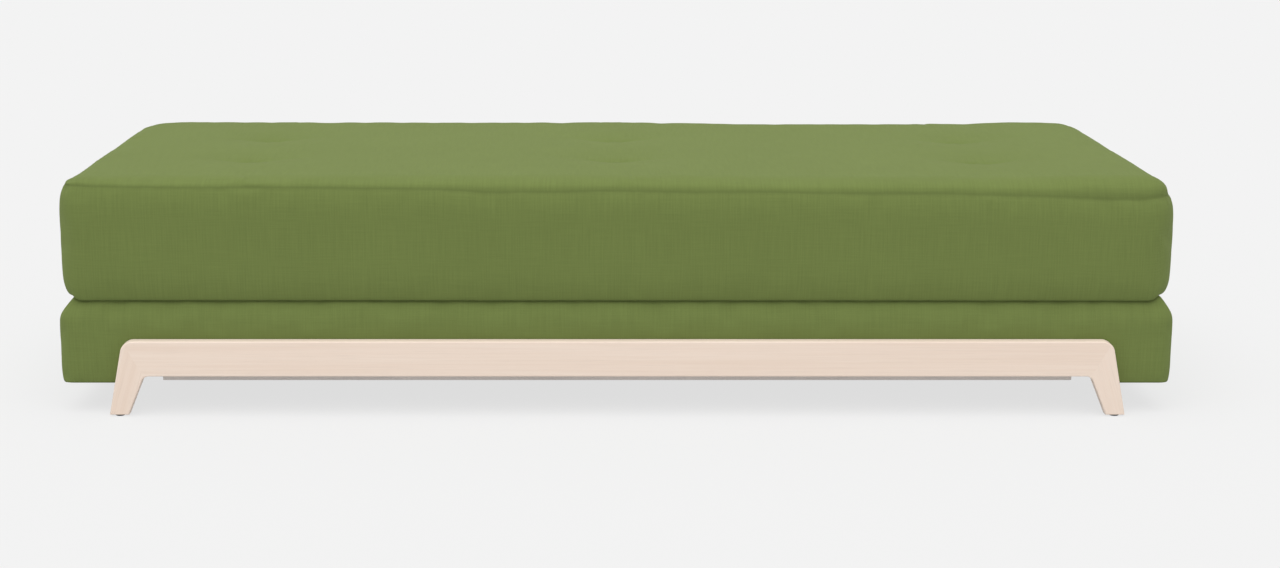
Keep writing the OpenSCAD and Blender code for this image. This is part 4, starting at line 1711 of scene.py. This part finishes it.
    def build_rail(self) -> Object:
        """Makes the rail.

        Returns:
            The rail.
        """
        mesh = self.outline()
        self.split(mesh, 1, keep_leg=False)
        self.split(mesh, -1, keep_leg=False)
        cut_levels(mesh, AXIS_X, [-self.rebate_half, self.rebate_half])
        cut_levels(mesh, AXIS_Z, [self.rebate_top])
        self.thicken(mesh, rebated=True)
        self.soften(mesh)
        self.stand(mesh)
        piece = new_piece(f"{self.prefix}_rail_board", mesh)
        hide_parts(f"{self.prefix}_rail")
        dress(piece, Timber(f"ash {self.prefix} rail", ASH_EARLY, ASH_LATE).material())
        return piece

    def build_leg(self, sign: int) -> Object:
        """Makes a leg.

        Args:
            sign: 1 for the right-hand leg, -1 for the left.

        Returns:
            The leg.
        """
        hand = "right" if sign > 0 else "left"
        mesh = self.outline()
        self.split(mesh, sign, keep_leg=True)
        self.thicken(mesh, rebated=False)
        self.soften(mesh)
        self.stand(mesh)
        piece = new_piece(f"{self.prefix}_leg_{hand}_board", mesh)
        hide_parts(f"{self.prefix}_leg_{hand}")
        lean = sign * (self.outer_splay + self.inner_splay) / 2
        dress(piece, Timber(f"ash {self.prefix} leg {hand}", ASH_EARLY, ASH_LATE, True, lean).material())
        return piece

    def build_glide(self, sign: int) -> Object:
        """Makes the nail-on glide under a foot.

        Args:
            sign: 1 for the right-hand foot, -1 for the left.

        Returns:
            The glide.
        """
        hand = "right" if sign > 0 else "left"
        x = sign * (self.outer_x(self.glide_height) + self.inner_x(self.glide_height)) / 2
        y = self.side.value * (self.back_y + self.thickness / 2)
        mesh = bmesh.new()
        lathe(mesh, Vector((x, y, 0)), [mm(*place) for place in self.glide_section], 32)
        piece = new_piece(f"{self.prefix}_foot_glide_{hand}", mesh)
        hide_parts(f"{self.prefix}_glide_{hand}")
        dress(piece, GLIDE_PLASTIC.material())
        return piece

    def build(self) -> None:
        """Makes and fixes every piece of the trestle."""
        boards = [self.build_rail(), self.build_leg(-1), self.build_leg(1)]
        for piece in boards:
            piece.modifiers.new("shading", "WEIGHTED_NORMAL").keep_sharp = True
        fix(self.body, *boards, self.build_glide(-1), self.build_glide(1))


# Zip


@dataclass
class Zip:
    """The zip in the rear border: a woven tape with two rows of teeth."""

    body: str = "mattress"
    length: float = 1200 * MM
    face_y: float = 400.3 * MM
    z: float = 316.9 * MM
    tape_height: float = 28 * MM
    tape_thickness: float = 0.9 * MM
    stitch_z: float = 11.25 * MM
    stitch_depth: float = 0.25 * MM
    tooth_pitch: float = 3.0 * MM
    tooth_width: float = 1.3 * MM
    tooth_height: float = 2.7 * MM
    tooth_depth: float = 1.4 * MM
    tooth_offset: float = 0.9 * MM
    tooth_root: float = 0.1 * MM
    tooth_round: float = 0.3 * MM

    def build_tape(self) -> Object:
        """Makes the tape, with a sunk line of stitching near each edge.

        Returns:
            The tape.
        """
        mesh = bmesh.new()
        size = (self.length, self.tape_thickness, self.tape_height)
        add_box(mesh, size, (0, self.face_y + self.tape_thickness / 2, self.z))
        cut_levels(mesh, AXIS_X, [k * self.length / 120 for k in range(-59, 60)])
        cut_levels(mesh, AXIS_Z, [self.z + step for step in mm(-12, -10.5, -3, 3, 10.5, 12)])
        for vert in mesh.verts:
            outside = vert.co.y > self.face_y + self.tape_thickness / 2
            if outside and abs(abs(vert.co.z - self.z) - self.stitch_z) < MM:
                vert.co.y -= self.stitch_depth
        map_flat(mesh, 0, 2)
        piece = new_piece("zip_tape_cloth", mesh, smooth=False)
        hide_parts("zip_tape")
        dress(piece, TAPE_CLOTH.material())
        return piece

    def build_teeth(self) -> Object:
        """Makes the teeth: one bevelled pair, repeated along the tape.

        Returns:
            The teeth.
        """
        mesh = bmesh.new()
        size = (self.tooth_width, self.tooth_depth, self.tooth_height)
        outside = self.face_y + self.tape_thickness
        for row, shift in ((-1, 0.0), (1, self.tooth_pitch / 2)):
            x = -self.length / 2 + self.tooth_pitch / 4 + shift
            y = outside + self.tooth_depth / 2 - self.tooth_root
            add_box(mesh, size, (x, y, self.z + row * self.tooth_offset))
        outer = [e for e in mesh.edges if min(v.co.y for v in e.verts) > outside]
        bevel(mesh, outer, self.tooth_round, 2)
        piece = new_piece("zip_teeth", mesh)
        array = piece.modifiers.new("row", "ARRAY")
        array.count = int(self.length / self.tooth_pitch)
        array.use_relative_offset = False
        array.use_constant_offset = True
        array.constant_offset_displace = (self.tooth_pitch, 0, 0)
        dress(piece, ZIP_METAL.material())
        return piece

    def build(self) -> None:
        """Makes and fixes the tape and its teeth."""
        fix(self.body, self.build_tape(), self.build_teeth())


# Hard parts that come over from the model


@dataclass
class HardParts:
    """The box, its fixings and the other nodes whose shape is kept, with their finishes."""

    boards: tuple[str, ...] = (
        "box_front_board",
        "box_rear_board",
        "slat_ledge_front",
        "slat_ledge_rear",
        "centre_beam",
    )
    cross_boards: tuple[str, ...] = (
        "box_left_board",
        "box_right_board",
        "cross_tie_left",
        "cross_tie_right",
    )
    steel: tuple[str, ...] = ("front_angle", "rear_angle")
    fixings: tuple[str, ...] = ("rail_bolts", "bolt_washers", "rail_inserts", "corner_screws")
    slat_count: int = 13

    def cover(self, names: Iterable[str], material: Material, edge: float) -> None:
        """Gives nodes a finish and, where asked, soft edges.

        Args:
            names: The nodes.
            material: Their material.
            edge: Width of the rounding, or 0 for none.
        """
        for name in names:
            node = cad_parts[name]
            for slot in node.material_slots:
                slot.material = material
            if edge > 0:
                add_soft_edges(node, edge)
            log.info("dressed %s", name)

    def build(self) -> None:
        """Dresses every node that stays."""
        slats = [f"slat_{number:02d}" for number in range(1, self.slat_count + 1)]
        for names, finish, edge in (
            (self.boards, PINE, 0.3 * MM),
            (self.cross_boards, PINE_ACROSS, 1.2 * MM),
            (["corner_blocks"], PINE_UPRIGHT, 1.0 * MM),
            (slats, BEECH_ACROSS, 2.0 * MM),
            (["leg_dowels"], BEECH, 0.0),
            (self.steel, GREY_STEEL, 0.6 * MM),
            (self.fixings, ZINC, 0.0),
            (["zip_slider", "zip_pull"], ZIP_METAL, 0.2 * MM),
            (["tuft_cords"], TWINE, 0.0),
            (["tuft_anchors"], GLIDE_PLASTIC, 0.0),
        ):
            self.cover(names, finish.material(), edge)


# Studio


def seen_directly(tree: NodeTree) -> Socket:
    """Adds nodes that tell camera, glossy and transmission rays from the rest.

    Args:
        tree: The node tree to add to.

    Returns:
        An output that is 1 for those rays.
    """
    rays = tree.nodes.new("ShaderNodeLightPath").outputs
    seen = rays["Is Camera Ray"]
    for kind in ("Is Glossy Ray", "Is Transmission Ray"):
        larger = tree.nodes.new("ShaderNodeMath")
        larger.operation = "MAXIMUM"
        tree.links.new(seen, larger.inputs[0])
        tree.links.new(rays[kind], larger.inputs[1])
        seen = larger.outputs[0]
    return seen


@dataclass
class Studio:
    """The pale floor, the soft light and the camera at the photograph's angle."""

    floor_half: float = 60.0
    floor_tone: float = 0.69
    background: float = 0.896
    backdrop_share: float = 0.8
    ambient: float = 0.6
    key_power: float = 2.35
    key_height: float = math.radians(70)
    key_turn: float = math.radians(-16)
    key_softness: float = math.radians(70)
    camera_place: tuple[float, float, float] = (-0.0666, -4.1536, 1.0408)
    camera_pitch: float = math.radians(12.046)
    lens: float = 60.29
    shift_x: float = 0.0466

    def build_floor(self) -> None:
        """Makes the floor."""
        mesh = bmesh.new()
        bmesh.ops.create_grid(mesh, x_segments=8, y_segments=8, size=self.floor_half)
        floor = new_piece("studio_floor", mesh, smooth=False)
        recipe = FinishRecipe("studio floor paint")
        recipe.finish(Base_Color=(self.floor_tone,) * 3, Roughness=1.0, Specular_IOR_Level=0.0)
        shown = {0: seen_directly(recipe.tree), 1: self.backdrop_share}
        share = recipe.add("Math", shown, operation="MULTIPLY").outputs[0]
        plain = recipe.add("Emission", {"Color": (1, 1, 1, 1), "Strength": self.background}).outputs[0]
        mixed = recipe.add("MixShader", {0: share, 1: recipe.surface.outputs[0], 2: plain}).outputs[0]
        recipe.feed(recipe.tree.nodes["Material Output"].inputs["Surface"], mixed)
        dress(floor, recipe.material)

    def build_world(self) -> None:
        """Lights the object evenly and shows a pale backdrop to the camera, gloss and glass."""
        world = bpy.data.worlds.new("studio light")
        world.use_nodes = True
        tree = world.node_tree
        light = tree.nodes["Background"]
        light.inputs["Color"].default_value = (1, 1, 1, 1)
        strength = tree.nodes.new("ShaderNodeMapRange")
        strength.inputs["To Min"].default_value = self.ambient
        strength.inputs["To Max"].default_value = self.background
        tree.links.new(seen_directly(tree), strength.inputs["Value"])
        tree.links.new(strength.outputs[0], light.inputs["Strength"])
        bpy.context.scene.world = world

    def build_key(self) -> None:
        """Makes the one broad key light, high in front."""
        lamp = bpy.data.lights.new("soft key", "SUN")
        lamp.energy = self.key_power
        lamp.angle = self.key_softness
        holder = bpy.data.objects.new("soft key", lamp)
        level, up = math.cos(self.key_height), math.sin(self.key_height)
        towards = Vector((level * math.sin(self.key_turn), -level * math.cos(self.key_turn), up))
        holder.rotation_mode = "QUATERNION"
        holder.rotation_quaternion = towards.to_track_quat("Z", "Y")
        bpy.context.scene.collection.objects.link(holder)

    def build_camera(self) -> None:
        """Sets the camera."""
        lens = bpy.data.cameras.new("view")
        lens.lens = self.lens
        lens.sensor_width = 36.0
        lens.shift_x = self.shift_x
        lens.clip_end = 200.0
        camera = bpy.data.objects.new("view", lens)
        camera.location = self.camera_place
        camera.rotation_euler = (math.pi / 2 - self.camera_pitch, 0, 0)
        bpy.context.scene.collection.objects.link(camera)
        bpy.context.scene.camera = camera

    def build(self) -> None:
        """Makes the whole studio."""
        self.build_camera()
        self.build_floor()
        self.build_world()
        self.build_key()
        bpy.context.scene.view_settings.view_transform = "Standard"


def main() -> None:
    """Builds the sofa bed and its studio, in order."""
    logging.basicConfig(level=logging.INFO, format="%(name)s: %(message)s")
    Studio().build()
    Mattress().build()
    Base().build()
    for half in StripHalf:
        FoldStrip(half).build()
    for side in Side:
        Trestle(side).build()
    Zip().build()
    HardParts().build()


if __name__ == "__main__":
    main()
